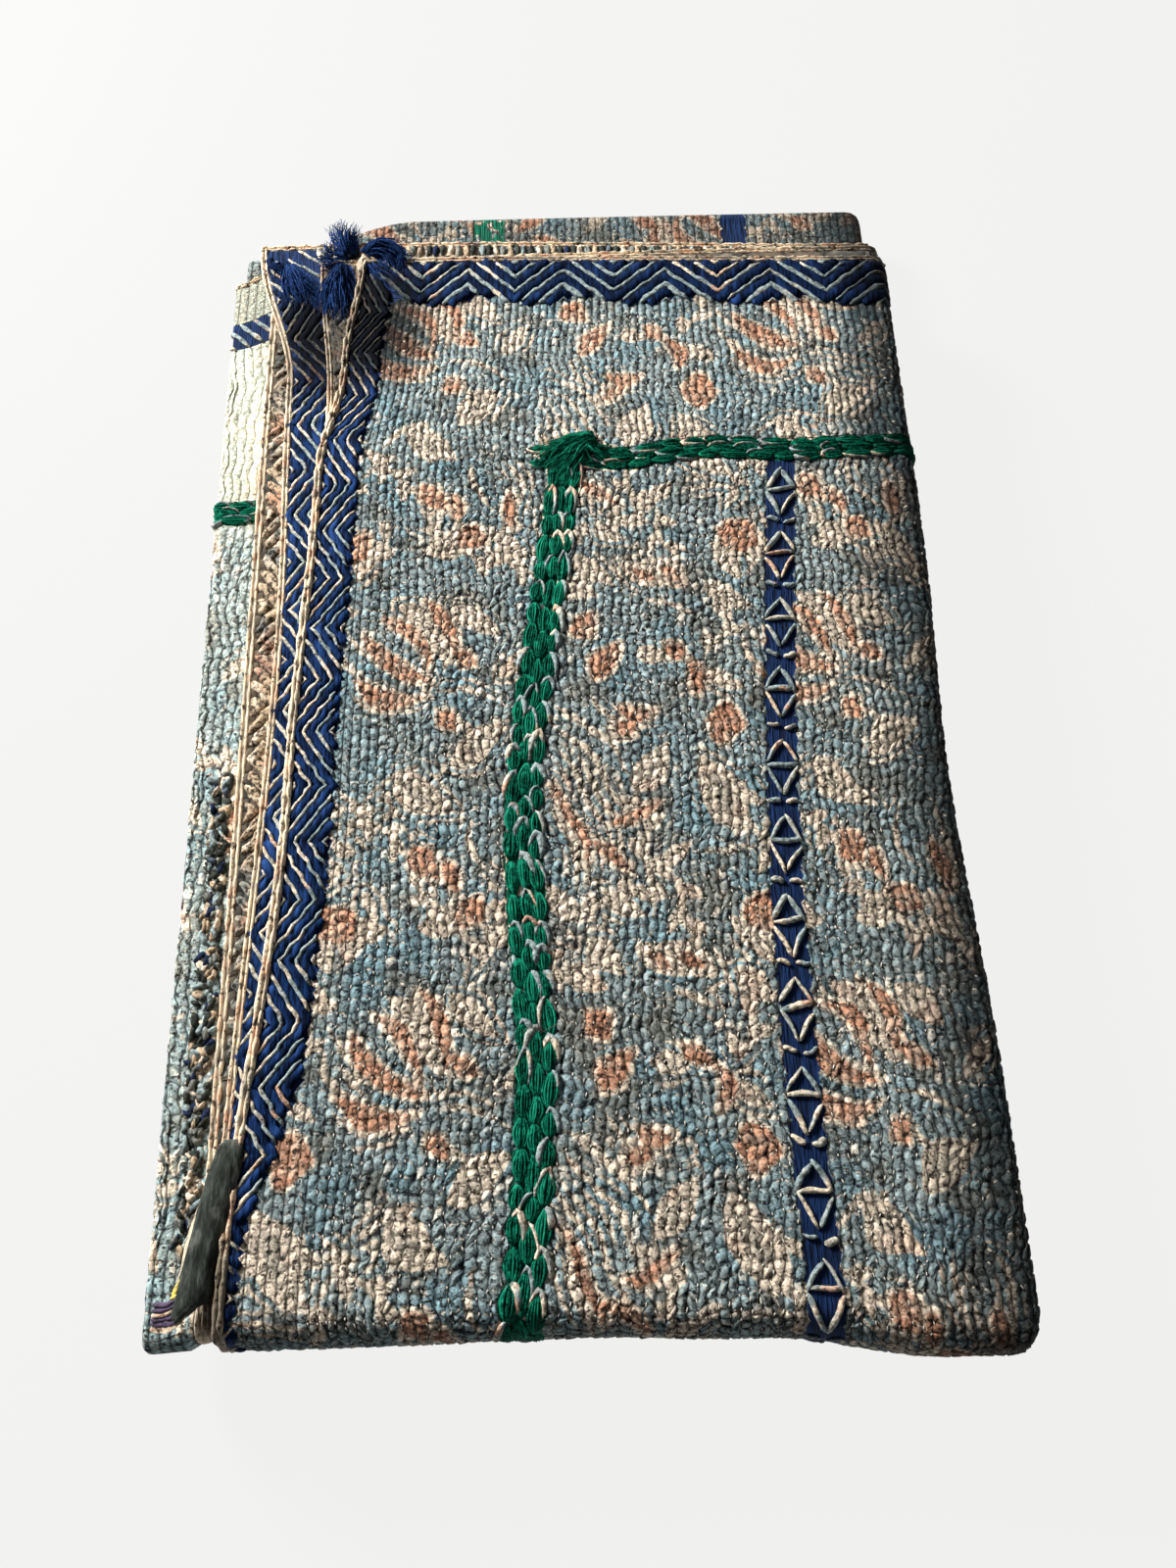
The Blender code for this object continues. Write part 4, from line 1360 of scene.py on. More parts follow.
def make_border_yarn():
    """The long floats of indigo yarn that fill the borders between the ridges."""
    tubes = Tubes()
    low, more = HEM_WIDTH, 0.0012
    wide, high, taper = 0.0020, 0.0012, 0.3
    for along, across in left_lines(low, more, between=0.5):
        tubes.add(laid_rings(across, along, 1, wide, high, taper=taper))
    for v, u, _ in under_lines(low, more, between=0.5):
        tubes.add(laid_rings(u, v, 1, wide, high, taper=taper))
    for along, across in far_lines(low, more, between=0.5):
        tubes.add(laid_rings(along, across, 1, wide * 1.5, high * 1.2, taper=taper))
    return tubes.piece("border_yarn", make_yarn_finish("border_indigo", tint("navy"), 0.12), "indigo_yarn")


def ridge_tone(across, depth):
    return np.clip(1 - across / depth, 0, 1) ** 1.5


def make_border_ridges():
    """The cloth ridges of the borders, wherever the folded quilt shows its face."""
    tubes = Tubes()
    wide, high = sizes().ridge_width / 2, sizes().ridge_height
    low, more = HEM_WIDTH - 0.0006, 0.0005
    deep = SIDE_BORDER + more
    for along, across in left_lines(low, more):
        tubes.add(laid_rings(across, along, 1, wide, high), ridge_tone(across, deep))
    for v, u, across in under_lines(low, more):
        tubes.add(laid_rings(u, v, 1, wide, high * 0.8), ridge_tone(across, deep))
    deep = END_BORDER + 0.0030
    for along, across in far_lines(low, 0.0026):
        shift = 0.8 * math.sin(37 * along[0]) - 0.9
        swell = 1.5 + 0.5 * math.sin(211 * along[0] + 90 * across[0])
        tubes.add(laid_rings(along, across, 1, wide * swell, high), 1.3 * ridge_tone(across, deep) + shift)
    for along, across in zigzag_lines(END_ZIGZAG, BORDER_START, LAST_CORNER_END, low, deep, corner=True):
        rings = laid_rings(FLAT_WIDTH - along, FLAT_LENGTH - across, 1, wide, high)
        tubes.add(rings, ridge_tone(across, deep))
    for k in range(7):  # slanting ridges of the indigo patch on the left roll
        u = FOLDS[0].line - 0.030 + 0.0075 * k + np.linspace(0, 0.014, 9)
        v = FLAT_LENGTH - PATCH_END + np.linspace(-PATCH_HALF, PATCH_HALF, 9)
        tubes.add(laid_rings(u, v, 1, wide * 1.2, high), 0.3)
    return tubes.piece("border_ridges", make_ridge_finish(), "quilted_cotton", "hem_nearness")


# one repeat of the blue band's diamond and bars: the marks' ends, metres across, fortieths of a repeat down
BAND_MARKS = (
    ((0, 0), (-BLUE_HALF, 12.4)),
    ((0, 0), (BLUE_HALF, 12.4)),
    ((-BLUE_HALF, 13.4), (BLUE_HALF, 11.4)),
    ((-BLUE_HALF, 15.0), (-0.0004, 28.5)),
    ((BLUE_HALF, 15.0), (0.0004, 28.5)),
    ((-BLUE_HALF, 31.4), (-0.0012, 33.0)),
    ((0.0012, 33.4), (BLUE_HALF, 31.6)),
)
BAND_MARKS_START = 0.134
BAND_MARKS_END = 0.575


def make_band_ridges():
    """The diamonds and bars of cloth that stand between the blue band's yarn."""
    tubes = Tubes()
    random = np.random.default_rng(11)
    wide, high = sizes().ridge_width * 0.52, sizes().ridge_height * 1.1
    scale = BLUE_REPEAT / 0.040
    for repeat in range(-3, 12):
        peak = BLUE_FIRST + repeat * BLUE_REPEAT
        for k, ((x0, y0), (x1, y1)) in enumerate(BAND_MARKS):
            y0, y1 = (peak + (y + random.uniform(-1.2, 1.2)) * scale / 1000 for y in (y0, y1))
            if y0 < BAND_MARKS_START or y1 > BAND_MARKS_END:
                continue
            way = np.linspace(0, 1, 8)
            v = y0 + (y1 - y0) * way + 0.0004 * np.sin(6 * way + k + repeat)
            bow = 0.0005 * np.sin(math.pi * way) * (1 if x1 > x0 else -1)
            u = eased(v, BLUE_LINE) + x0 + (x1 - x0) * way + bow
            rings = laid_rings(u, v, 1, wide * random.uniform(0.85, 1.5), high * 0.9)
            tubes.add(rings, random.uniform(-0.3, 0.8))
    return tubes.piece("blue_band_ridges", make_ridge_finish(), "quilted_cotton", "hem_nearness")


# a stack of columns of floats, beside one another: the step between them and the width of a float
Column = namedtuple("Column", "step float_width rim_width rim_half down")
UPRIGHT = Column(0.0053, 0.0058, 0.0062, 0.0013, True)
ARM = Column(0.0040, 0.0044, -0.0046, 0.0008, False)
COLUMN_STAGGER = 0.0065
ARM_RIMS = 0.45  # the share of an arm's floats that have a rim of cloth
UPRIGHT_RIMS = (0.45, 0.75, 0.90)
ROLL_RIMS = 0.9


def float_strands(u0, v0, u1, v1, width, random):
    """The strands of one thick float of green yarn, drawn together to a point at each end."""
    way = np.linspace(0, 1, 9)
    du, dv = u1 - u0, v1 - v0
    aside_u, aside_v = square_to(du, dv)
    for k in range(6):
        lateral = (k - 2.5) / 5 * width * (0.06 + 0.94 * np.sin(math.pi * (0.03 + 0.94 * way)) ** 1.1)
        lateral = lateral + 0.0003 * random.uniform(-1, 1)
        u = u0 + du * way + aside_u * lateral
        v = v0 + dv * way + aside_v * lateral
        bulge = 0.0018 * np.sin(math.pi * (0.08 + 0.84 * way)) ** 0.7 * (1.15 - 0.18 * abs(k - 2.5))
        yield u, v, width * 0.105, bulge * random.uniform(0.75, 1.15)


def add_columns(tubes, rims, line, column, first, last, rim_shares, random):
    """Three columns of floats along the line, down the cloth or across it, with cloth rims at their tips."""
    for k, rim_share in enumerate(rim_shares):
        place = first + COLUMN_STAGGER * (k % 2)
        while place < last:
            length = sizes().float_length * random.uniform(0.78, 1.22)
            ends = []
            for at in (place, place + length):
                aside = eased(at, line) + (k - 1) * column.step + random.uniform(-0.0005, 0.0005)
                ends.append((aside, at) if column.down else (at, aside))
            (u0, v0), (u1, v1) = ends
            for u, v, wide, top in float_strands(u0, v0, u1, v1, column.float_width, random):
                tubes.add(laid_rings(u, v, 1, wide, top, around=6, taper=0.3), random.uniform())
            if random.uniform() < rim_share:
                add_rim(rims, u0, v0, u1, v1, column, random)
            place += length + random.uniform(-0.0012, 0.0008)


def make_green_floats():
    """The green frame on the top layer, then the arm where it shows on the left roll, at both its ends."""
    random = np.random.default_rng(31)
    tubes, rims = Tubes(), Tubes()
    on_roll = FLAT_LENGTH - GREEN_ARM[-1][1] - ROLL_GREEN
    runs = (
        (GREEN_LINE, UPRIGHT, 0.120, 0.572, UPRIGHT_RIMS),
        (GREEN_ARM, ARM, 0.112, 0.326, [ARM_RIMS] * 3),
        (GREEN_ARM, ARM, 0.640, 0.690, [ROLL_RIMS] * 3),
        (((0.0, on_roll), (2.0, on_roll)), ARM, 0.640, 0.690, [ROLL_RIMS] * 3),
    )
    for line, column, first, last, rim_shares in runs:
        add_columns(tubes, rims, line, column, first, last, rim_shares, random)
    floats = tubes.piece("green_floats", make_yarn_finish("green_floss", tint("green")), "green_yarn")
    return floats, rims.piece("float_rims", make_ridge_finish(), "quilted_cotton", "hem_nearness")


# from the middle of a float's width and from its tip, as shares of its width and its length
RIM_SHAPE = (
    (-0.42, 0.34),
    (-0.22, 0.12),
    (0.0, -0.04),
    (0.24, 0.04),
    (0.44, 0.20),
    (0.56, 0.42),
    (0.52, 0.66),
)


def add_rim(rims, u0, v0, u1, v1, column, random):
    """A narrow fold of cloth over the tip of a float and down one side of it."""
    shape = np.array(RIM_SHAPE)[random.integers(0, 3) :]
    side = -1 if random.uniform() < 0.3 else 1
    reach = random.uniform(0.75, 1.45)
    du, dv = u1 - u0, v1 - v0
    length = math.hypot(du, dv)
    lean = random.uniform(-0.35, 0.35)
    aside = side * column.rim_width * (shape[:, 0] + lean * shape[:, 1])
    u = u0 + du * shape[:, 1] * reach + dv / length * aside
    v = v0 + dv * shape[:, 1] * reach - du / length * aside
    half = column.rim_half * random.uniform(0.6, 1.5)
    rings = laid_rings(u, v, 1, half, 0.0024 * random.uniform(0.7, 1.1), around=6)
    rims.add(rings, random.uniform(-0.6, 0.6))


def perimeter(inset):
    """Flat points round the whole hem at this inset, closer together in the bends."""

    def stations(axis, whole):
        bends = [bend_span(order) for order in range(4) if FOLDS[order].axis == axis]
        (half, half_end), (quarter, quarter_end) = bends
        mirror = half + half_end
        stops = [0, quarter, quarter_end, half, half_end, mirror - quarter_end, mirror - quarter, whole]
        places = [inset]
        for k, (start, end) in enumerate(zip(stops, stops[1:])):
            start, end = max(start, inset), min(end, whole - inset)
            bend = k % 2 == 1
            steps = 14 if bend else max(int((end - start) / (0.0042 if axis == DOWN else 0.0024)), 2)
            places += list(np.linspace(start, end, steps + 1)[1:])
        return np.array(places)

    us, vs = stations(ACROSS, FLAT_WIDTH), stations(DOWN, FLAT_LENGTH)
    right, near = FLAT_WIDTH - inset, FLAT_LENGTH - inset
    u = np.concatenate([us[:-1], np.full(len(vs) - 1, right), us[:0:-1], np.full(len(vs) - 1, inset)])
    v = np.concatenate([np.full(len(us) - 1, inset), vs[:-1], np.full(len(us) - 1, near), vs[:0:-1]])
    return u, v


def make_hem_rolls():
    """The rolled hem: two soft ridges side by side all round, on both faces of the cloth."""
    tubes = Tubes()
    lobe = sizes().hem_lobe
    turn = np.linspace(0, 2 * math.pi, 8, endpoint=False)
    for inset, radius in ((0.0005, lobe * 0.72), (0.0025, lobe * 0.62)):
        u, v = perimeter(inset)
        aside_u, aside_v = square_to(np.roll(u, -1) - np.roll(u, 1), np.roll(v, -1) - np.roll(v, 1))
        number = np.arange(len(u))
        scallop = 1 + 0.34 * np.sin(number * 2.3) * chance(number, 3) + 0.24 * (chance(number, 4) - 0.5)
        scallop = scallop * np.where((u < 0.01) & (v < 0.530), 2.0, 1.25)
        aside = np.cos(turn)[None, :] * (radius * 0.95 * scallop)[:, None]
        rise = np.sin(turn)[None, :] * ((CLOTH / 2 + 0.00040) * scallop)[:, None]
        rings = packet(u[:, None] + aside * aside_u[:, None], v[:, None] + aside * aside_v[:, None], rise)
        tubes.add(rings, closed=True)
    return tubes.piece("hem_rolls", make_hem_finish(), "quilted_cotton")


def make_lining_ridges():
    """The broad folds that the border's stitches pull up on the back, where the back shows."""
    tubes = Tubes()
    deep, half, high, tone = 0.030, 0.0023, 0.0015, 0.2
    for along, across in zigzag_lines(LINING_ZIGZAG, *LINING_RUNS[0], HEM_WIDTH, deep):
        tubes.add(laid_rings(FLAT_WIDTH - across, along, -1, half, high), tone)
    for along, across in zigzag_lines(LINING_ZIGZAG, *LINING_RUNS[1], HEM_WIDTH, deep):
        tubes.add(laid_rings(across, along, -1, half, high), tone)
    return tubes.piece("lining_folds", make_fold_finish(), "quilted_cotton")


STITCH_ROWS = 70
STITCHES_IN_ROW = 100
ROWS_TO_BLUE = 56
STITCHES_SHOWN = (0.60, 0.06)  # the share of the stitches that show before the blue band and past it


def make_running_stitches():
    """The pale thread that shows at the corners of the puffs."""
    random = np.random.default_rng(7)
    lines_across, lines_down = Lines(across_blocks()), Lines(down_blocks())
    tubes = Tubes()
    half = sizes().stitch_length / 2
    first_row = int(lines_across.count[lines_across.span(2)[0]])
    first_puff = int(lines_down.count[lines_down.span(2)[0]])
    for row in range(1, STITCH_ROWS + 1):
        number = first_row + row
        shift = float(row_shift(number))
        shown = STITCHES_SHOWN[0 if row < ROWS_TO_BLUE else 1]
        for puff in range(STITCHES_IN_ROW):
            if random.uniform() > shown:
                continue
            base_u = np.interp(number, lines_across.count, lines_across.flat)
            base_v = np.interp(first_puff + puff + 1 - shift, lines_down.count, lines_down.flat)
            stray_u, stray_v = wander(base_u, base_v)
            u, v = base_u + stray_u, base_v + stray_v
            if max(green_reach(u, v), blue_reach(u, v), border_reach(u, v)) > -0.0012:
                continue
            lean = random.uniform(-0.5, 0.5)
            reach = half * random.uniform(0.6, 1.2)
            way = np.array([-1.0, -0.3, 0.3, 1.0])
            us, vs = u + way * reach * math.sin(lean), v + way * reach * math.cos(lean)
            tubes.add(laid_rings(us, vs, 1, 0.00030, 0.00040, around=4), random.uniform())
    # the pale thread gets painted shade at the packet's shaded places
    material = make_cotton_finish("pale_thread", tint("thread"), tint("hem"), 600, 0.4, True)
    return tubes.piece("running_stitches", material, "quilted_cotton")


# ---- loose yarn, the mend and stray threads ----

Tuft = namedtuple("Tuft", "name x y layer clear locks")
# where a lock leaves the knot in millimetres, its heading, length, turn, fan, height and number of fibres
Lock = namedtuple("Lock", "x y heading length turn fan rise count")
INDIGO_TUFTS = (
    Tuft(
        "corner_tuft_back", -0.1100, 0.2470, 2, 0.0040,
        (Lock(-2, 0, 112, 24, -16, 20, 6, 120), Lock(-4, -2, 165, 13, 60, 60, 4, 34)),
    ),
    Tuft(
        "corner_tuft_down", -0.1150, 0.2360, 1, 0.0006,
        (Lock(0, 7, 262, 38, 12, 17, 7, 230), Lock(-5, 10, 190, 13, -70, 60, 5, 30)),
    ),
    Tuft(
        "second_tuft", -0.1460, 0.2430, 2, 0.0001,
        (Lock(0, 5, 284, 32, 14, 17, 6, 220), Lock(-3, 4, 240, 12, 60, 55, 4, 26)),
    ),
)  # fmt: skip
SIDE_TUFT = Tuft(
    "side_tuft", -0.1000, 0.2420, 0, 0.0002,
    (Lock(-4, 1, 46, 30, -120, 22, 8, 170), Lock(0, 0, 300, 30, 20, 9, 2, 26)),
)  # fmt: skip
GREEN_TUFT = Tuft(
    "frame_tuft", 0.0120, 0.1200, 0, 0.0010,
    (Lock(8, 0, 197, 34, 30, 20, 5, 90), Lock(2, -2, 250, 14, 90, 70, 4, 30)),
)  # fmt: skip


def layer_top(layer, x, y):
    return (PACKET - layer * (CLOTH + GAP)) * swollen(x, y)


def unit(vectors):
    return vectors / np.maximum(np.linalg.norm(vectors, axis=1, keepdims=True), 1e-9)


def fibre_rings(line, radius, around=4):
    """Rings of a fine tube along a line of points, thinner to its tip."""
    ahead = unit(np.gradient(line, axis=0))
    aside = unit(np.cross(ahead, [0.13, 0.21, 0.97]))
    over = np.cross(ahead, aside)
    turn = np.linspace(0, 2 * math.pi, around, endpoint=False)
    thin = (1 - 0.6 * np.linspace(0, 1, len(line)) ** 2)[:, None, None]
    spread = np.cos(turn)[None, :, None] * aside[:, None] + np.sin(turn)[None, :, None] * over[:, None]
    return line[:, None] + radius * thin * spread


KNOT_HALF = 4.0  # half the width of the knot that a tuft leaves, in millimetres


def make_tuft(tuft, material, slot, seed, coarse=1.0):
    """A tuft of loose yarn ends: locks of fine fibres that leave the knot, fan out and curl."""
    random = np.random.default_rng(seed)
    tubes = Tubes()
    base = layer_top(tuft.layer, tuft.x, tuft.y) + tuft.clear
    way = np.linspace(0, 1, 10)
    for lock in tuft.locks:
        for _ in range(lock.count):
            lateral, level = random.uniform(-1, 1), random.uniform(0.0, 1.0)
            length = 0.001 * lock.length * (1 - 0.22 * abs(lateral)) * random.uniform(0.60, 1.08)
            heading = lock.heading + lateral * lock.fan + random.normal() * 3
            wave = random.uniform(8, 32) * np.sin(random.uniform(4, 13) * way + random.uniform(0, 6))
            turned = np.radians(heading + lock.turn * way + wave * way)
            step = length / (len(way) - 1)
            across = np.cumsum(np.cos(turned)) * step
            ahead = np.cumsum(np.sin(turned)) * step
            cos, sin = math.cos(math.radians(lock.heading)), math.sin(math.radians(lock.heading))
            start_x = tuft.x + 0.001 * (lock.x - KNOT_HALF * lateral * sin * (1 - 0.4 * level))
            start_y = tuft.y + 0.001 * (lock.y + KNOT_HALF * lateral * cos * (1 - 0.4 * level))
            bulge = 0.001 * lock.rise * (1 - lateral * lateral) * level
            rise = 0.0004 + bulge * np.sin(math.pi * (0.12 + 0.80 * way))
            line = np.stack([start_x + across, start_y + ahead, base + rise], -1)
            radius = coarse * sizes().fibre_radius * random.uniform(0.8, 1.5)
            tubes.add(fibre_rings(line, radius), random.uniform())
    return tubes.piece(tuft.name + "_fibres", material, slot)


# the roll's outline, in metres across the cloth and over its middle
MEND_SECTION = (
    (0.0060, 0.0024),
    (0.0052, 0.0044),
    (0.0000, 0.0062),
    (-0.0055, 0.0060),
    (-0.0092, 0.0034),
    (-0.0100, -0.0006),
    (-0.0080, -0.0042),
    (-0.0035, -0.0052),
    (-0.0006, -0.0044),
    (-0.0006, 0.0024),
)
# the roll's size by how far down the cloth
MEND_RUN = (
    (0.456, 0.50),
    (0.460, 0.78),
    (0.468, 0.94),
    (0.492, 1.00),
    (0.506, 1.02),
    (0.513, 1.06),
    (0.517, 0.84),
)
MEND_WAIST = (-0.0006, 0.0024)


def make_mend():
    """The strip rolled round the hem, with long creases down its length."""
    tubes = Tubes()
    section = np.array(MEND_SECTION)
    closed = np.vstack([section, section[:1]])
    stretch = np.concatenate([[0], np.cumsum(np.linalg.norm(np.diff(closed, axis=0), axis=1))])
    around = np.linspace(0, stretch[-1], 33)[:-1]
    out = np.interp(around, stretch, closed[:, 0])
    rise = np.interp(around, stretch, closed[:, 1])
    for _ in range(2):
        out = (np.roll(out, 1) + 2 * out + np.roll(out, -1)) / 4
        rise = (np.roll(rise, 1) + 2 * rise + np.roll(rise, -1)) / 4
    downs = np.linspace(MEND_RUN[0][0], MEND_RUN[-1][0], 46)
    share = eased(downs, MEND_RUN)
    round_way = 2 * math.pi * around / stretch[-1]
    crease = 1 + 0.045 * np.sin(9 * round_way + 30 * (downs[:, None] - 0.45))
    wrung = 0.05 * np.sin(420 * downs[:, None] + 1.5 * np.sin(round_way))
    crease = crease + wrung * smooth(0.494, 0.510, downs)[:, None]
    crease = crease + 0.03 * np.sin(260 * downs)[:, None] * np.cos(round_way)[None, :]
    size = share[:, None] * crease
    lean = 0.0010 - 0.0092 * smooth(0.446, 0.524, downs)[:, None]
    u = MEND_WAIST[0] + lean + (out - MEND_WAIST[0])[None, :] * size
    height = MEND_WAIST[1] + (rise - MEND_WAIST[1])[None, :] * size
    rings = packet(u, downs[:, None] + 0 * u, height)
    tubes.add(rings)
    piece = tubes.piece("rolled_mend_cloth", make_mend_finish(), "charcoal_cotton")
    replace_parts(piece, "rolled_mend")
    return piece


# name, colour, half width, and its two ends on the flat cloth
SCRAPS = (
    ("yellow_scrap", "scrap_yellow", 0.0016, ((-0.0140, 0.499), (-0.0165, 0.506))),
    ("yellow_scrap_end", "scrap_yellow", 0.0013, ((-0.0190, 0.5065), (-0.0120, 0.5080))),
    ("cream_scrap", "hem", 0.0014, ((-0.0100, 0.476), (-0.0150, 0.500))),
    ("tan_scrap", "lining", 0.0022, ((0.0010, -0.0040), (0.0010, 0.0060))),
)


def make_scraps():
    """The ends of other cloths under the mend: yellow and cream strips, and a purple one with cream lines."""
    way = np.linspace(0, 1, 16)
    for name, tone, half, ((u0, v0), (u1, v1)) in SCRAPS:
        tubes = Tubes()
        for k in range(3):
            u = u0 + (u1 - u0) * way - 0.0011 * k + 0.0006 * np.sin(7 * way + k)
            v = v0 + (v1 - v0) * way + 0.0012 * k
            tubes.add(laid_rings(u, v, 1, half * (0.8 - 0.15 * k), 0.0012 - 0.0012 * k, -0.0040), 0.2 * k)
        finish = make_cotton_finish(name, tint(tone), tint("ground_grey"), 260, 0.8)
        tubes.piece(name, finish, "quilted_cotton")
    tubes, lines = Tubes(), Tubes()
    for k in range(6):
        v = 0.5080 + 0.0018 * k + 0.0004 * np.sin(5 * way + k)
        u = -0.0260 + 0.0140 * way
        piece = lines if k in (2, 5) else tubes
        piece.add(laid_rings(u, v, 1, 0.0012, 0.0010 - 0.0004 * k, -0.0034), 0.5)
    finish = make_cotton_finish("purple_scrap", tint("scrap_purple"), tint("mend"), 200, 0.7)
    tubes.piece("purple_scrap", finish, "quilted_cotton")
    lines.piece("scrap_lines", bpy.data.materials["hem_cotton"], "quilted_cotton")


LUMPS = 280
TUCKS = 88


def make_rumpled_edge():
    """Lumps of rumpled cloth between the left roll and the hems, and the drawn-in tucks of the far hem."""
    random = np.random.default_rng(23)
    lumps = Tubes()
    for _ in range(LUMPS):
        end = random.uniform(0.300, 0.508)
        u, v = FOLDS[0].line - random.uniform(0.008, 0.017), FLAT_LENGTH - end
        heading = random.normal(0.0, 0.5) + (0.8 if random.uniform() < 0.3 else 0)
        reach = random.uniform(0.0016, 0.0036)
        way = np.linspace(-1, 1, 6)
        us = u + way * reach * math.sin(heading) + 0.0008 * way**2
        vs = v + way * reach * math.cos(heading)
        rings = laid_rings(us, vs, 1, random.uniform(0.0010, 0.0021), random.uniform(0.0012, 0.0030))
        lumps.add(rings, random.uniform())
    for k in range(TUCKS):
        u = 1.010 + 0.0036 * k + random.uniform(-0.0006, 0.0006)
        v = FLAT_LENGTH - np.linspace(0.0020, 0.0095 + random.uniform(-0.0015, 0.0015), 6)
        us = u + random.uniform(-0.0012, 0.0012) * np.linspace(0, 1, 6)
        tone = (0.15, 0.85, 0.40, 0.95, 0.20, 0.70)[k % 6] + random.uniform(-0.08, 0.04)
        lumps.add(laid_rings(us, v, 1, 0.0015, random.uniform(0.0012, 0.0022)), tone)
    return lumps.piece("rumpled_edge", make_rumple_finish(), "quilted_cotton")


STRAY_THREADS = 26


def make_stray_threads():
    """Thin threads that have worked loose on the face and at the corners."""
    random = np.random.default_rng(5)
    tubes = Tubes()
    for _ in range(STRAY_THREADS):
        u, v = random.uniform(0.030, 0.290), random.uniform(0.050, 0.500)
        heading = random.uniform(0, 2 * math.pi)
        length = random.uniform(0.006, 0.020)
        bow = random.uniform(-1.6, 1.6)
        way = np.linspace(0, 1, 12)
        turn = heading + bow * way
        us = u + np.cumsum(np.cos(turn)) * length / 12
        vs = v + np.cumsum(np.sin(turn)) * length / 12
        line = packet(us, vs, CLOTH / 2 + 0.0008 + 0.0007 * np.sin(math.pi * way))
        tubes.add(fibre_rings(line, 0.00014), 0.3)
    finish = make_cotton_finish("stray_thread", tint("ground_grey"), tint("mend"), 200, 0.8)
    return tubes.piece("stray_threads", finish, "quilted_cotton")


# ---- one operator for each piece or group ----


class QuiltPiece:
    bl_options = {"REGISTER", "UNDO"}


class KANTHA_OT_printed_face(QuiltPiece, bpy.types.Operator):
    """Make the quilt's printed face with its stitched puffs"""

    bl_idname = "kantha.printed_face"
    bl_label = "Printed face"

    def execute(self, context):
        points, quads, rings, layers = Sheet(1, FACE_STEPS).build()
        piece = mesh_piece("printed_face", points, quads, rings, make_face_finish(), layers)
        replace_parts(piece, "quilt")
        return {"FINISHED"}


class KANTHA_OT_lining(QuiltPiece, bpy.types.Operator):
    """Make the quilt's back and the folds that the border pulls up on it"""

    bl_idname = "kantha.lining"
    bl_label = "Lining"

    def execute(self, context):
        points, quads, rings, layers = Sheet(-1, LINING_STEPS).build()
        piece = mesh_piece("lining", points, quads, rings, make_lining_finish(), layers)
        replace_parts(piece, "quilt")
        make_lining_ridges()
        return {"FINISHED"}


class KANTHA_OT_ridges(QuiltPiece, bpy.types.Operator):
    """Make the cloth ridges of the navy borders and the blue band"""

    bl_idname = "kantha.ridges"
    bl_label = "Border ridges"

    def execute(self, context):
        make_border_ridges()
        make_border_yarn()
        make_band_ridges()
        return {"FINISHED"}


class KANTHA_OT_green_frame(QuiltPiece, bpy.types.Operator):
    """Make the thick green floats of the frame and the cloth rims round them"""

    bl_idname = "kantha.green_frame"
    bl_label = "Green frame"

    def execute(self, context):
        make_green_floats()
        return {"FINISHED"}


class KANTHA_OT_hems(QuiltPiece, bpy.types.Operator):
    """Make the rolled hems"""

    bl_idname = "kantha.hems"
    bl_label = "Hems"

    def execute(self, context):
        make_hem_rolls()
        return {"FINISHED"}


class KANTHA_OT_stitches(QuiltPiece, bpy.types.Operator):
    """Make the pale running stitches and the stray threads"""

    bl_idname = "kantha.stitches"
    bl_label = "Stitches"

    def execute(self, context):
        make_running_stitches()
        make_stray_threads()
        return {"FINISHED"}


class KANTHA_OT_tufts(QuiltPiece, bpy.types.Operator):
    """Make the loose yarn ends at the corners"""

    bl_idname = "kantha.tufts"
    bl_label = "Yarn tufts"

    def execute(self, context):
        indigo = make_yarn_finish("indigo_floss", deeper(tint("navy"), 1.05, 0.001), in_painted_shade=False)
        for number, tuft in enumerate(INDIGO_TUFTS):
            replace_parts(make_tuft(tuft, indigo, "indigo_yarn", 40 + number), tuft.name)
        make_tuft(SIDE_TUFT, indigo, "indigo_yarn", 47)
        green = bpy.data.materials["green_floss"]
        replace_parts(make_tuft(GREEN_TUFT, green, "green_yarn", 50, 1.8), GREEN_TUFT.name)
        return {"FINISHED"}


class KANTHA_OT_mend(QuiltPiece, bpy.types.Operator):
    """Make the rolled mend on the left hem, the scraps under it and the rumpled cloth beside it"""

    bl_idname = "kantha.mend"
    bl_label = "Rolled mend"

    def execute(self, context):
        make_mend()
        make_scraps()
        make_rumpled_edge()
        return {"FINISHED"}


class KANTHA_OT_stage(QuiltPiece, bpy.types.Operator):
    """Make the floor, the studio lights and the camera"""

    bl_idname = "kantha.stage"
    bl_label = "Stage"

    def execute(self, context):
        make_stage()
        return {"FINISHED"}


Light = namedtuple("Light", "name size power place tone")
LIGHTS = (
    Light("key", 0.34, 59, (-0.97, 0.82, 0.74), (1.0, 0.985, 0.96)),
    Light("fill", 1.6, 1.0, (1.1, -1.2, 1.5), (0.97, 0.98, 1.0)),
)
FLOOR_GLOW = 0.89
FLOOR_REACH = 8.0
DOME_STRENGTH = 0.12
LENS, SENSOR = 27.0, 36.0
CAMERA_PLACE = (0.0040, -0.2502, 0.5545)
CAMERA_PITCH = 69.5
CAMERA_HEADING = (0.0279, 0.9996)


def stand(thing, place, ahead):
    """Links a light or camera at its place, pointing ahead."""
    bpy.context.scene.collection.objects.link(thing)
    thing.location = place
    thing.rotation_mode = "QUATERNION"
    thing.rotation_quaternion = Vector(ahead).to_track_quat("-Z", "Y")


def add_light(light):
    data = bpy.data.lights.new(light.name, "AREA")
    data.shape = "RECTANGLE"
    data.size = data.size_y = light.size
    data.energy = light.power
    data.color = light.tone
    stand(bpy.data.objects.new(light.name, data), light.place, -np.array(light.place))


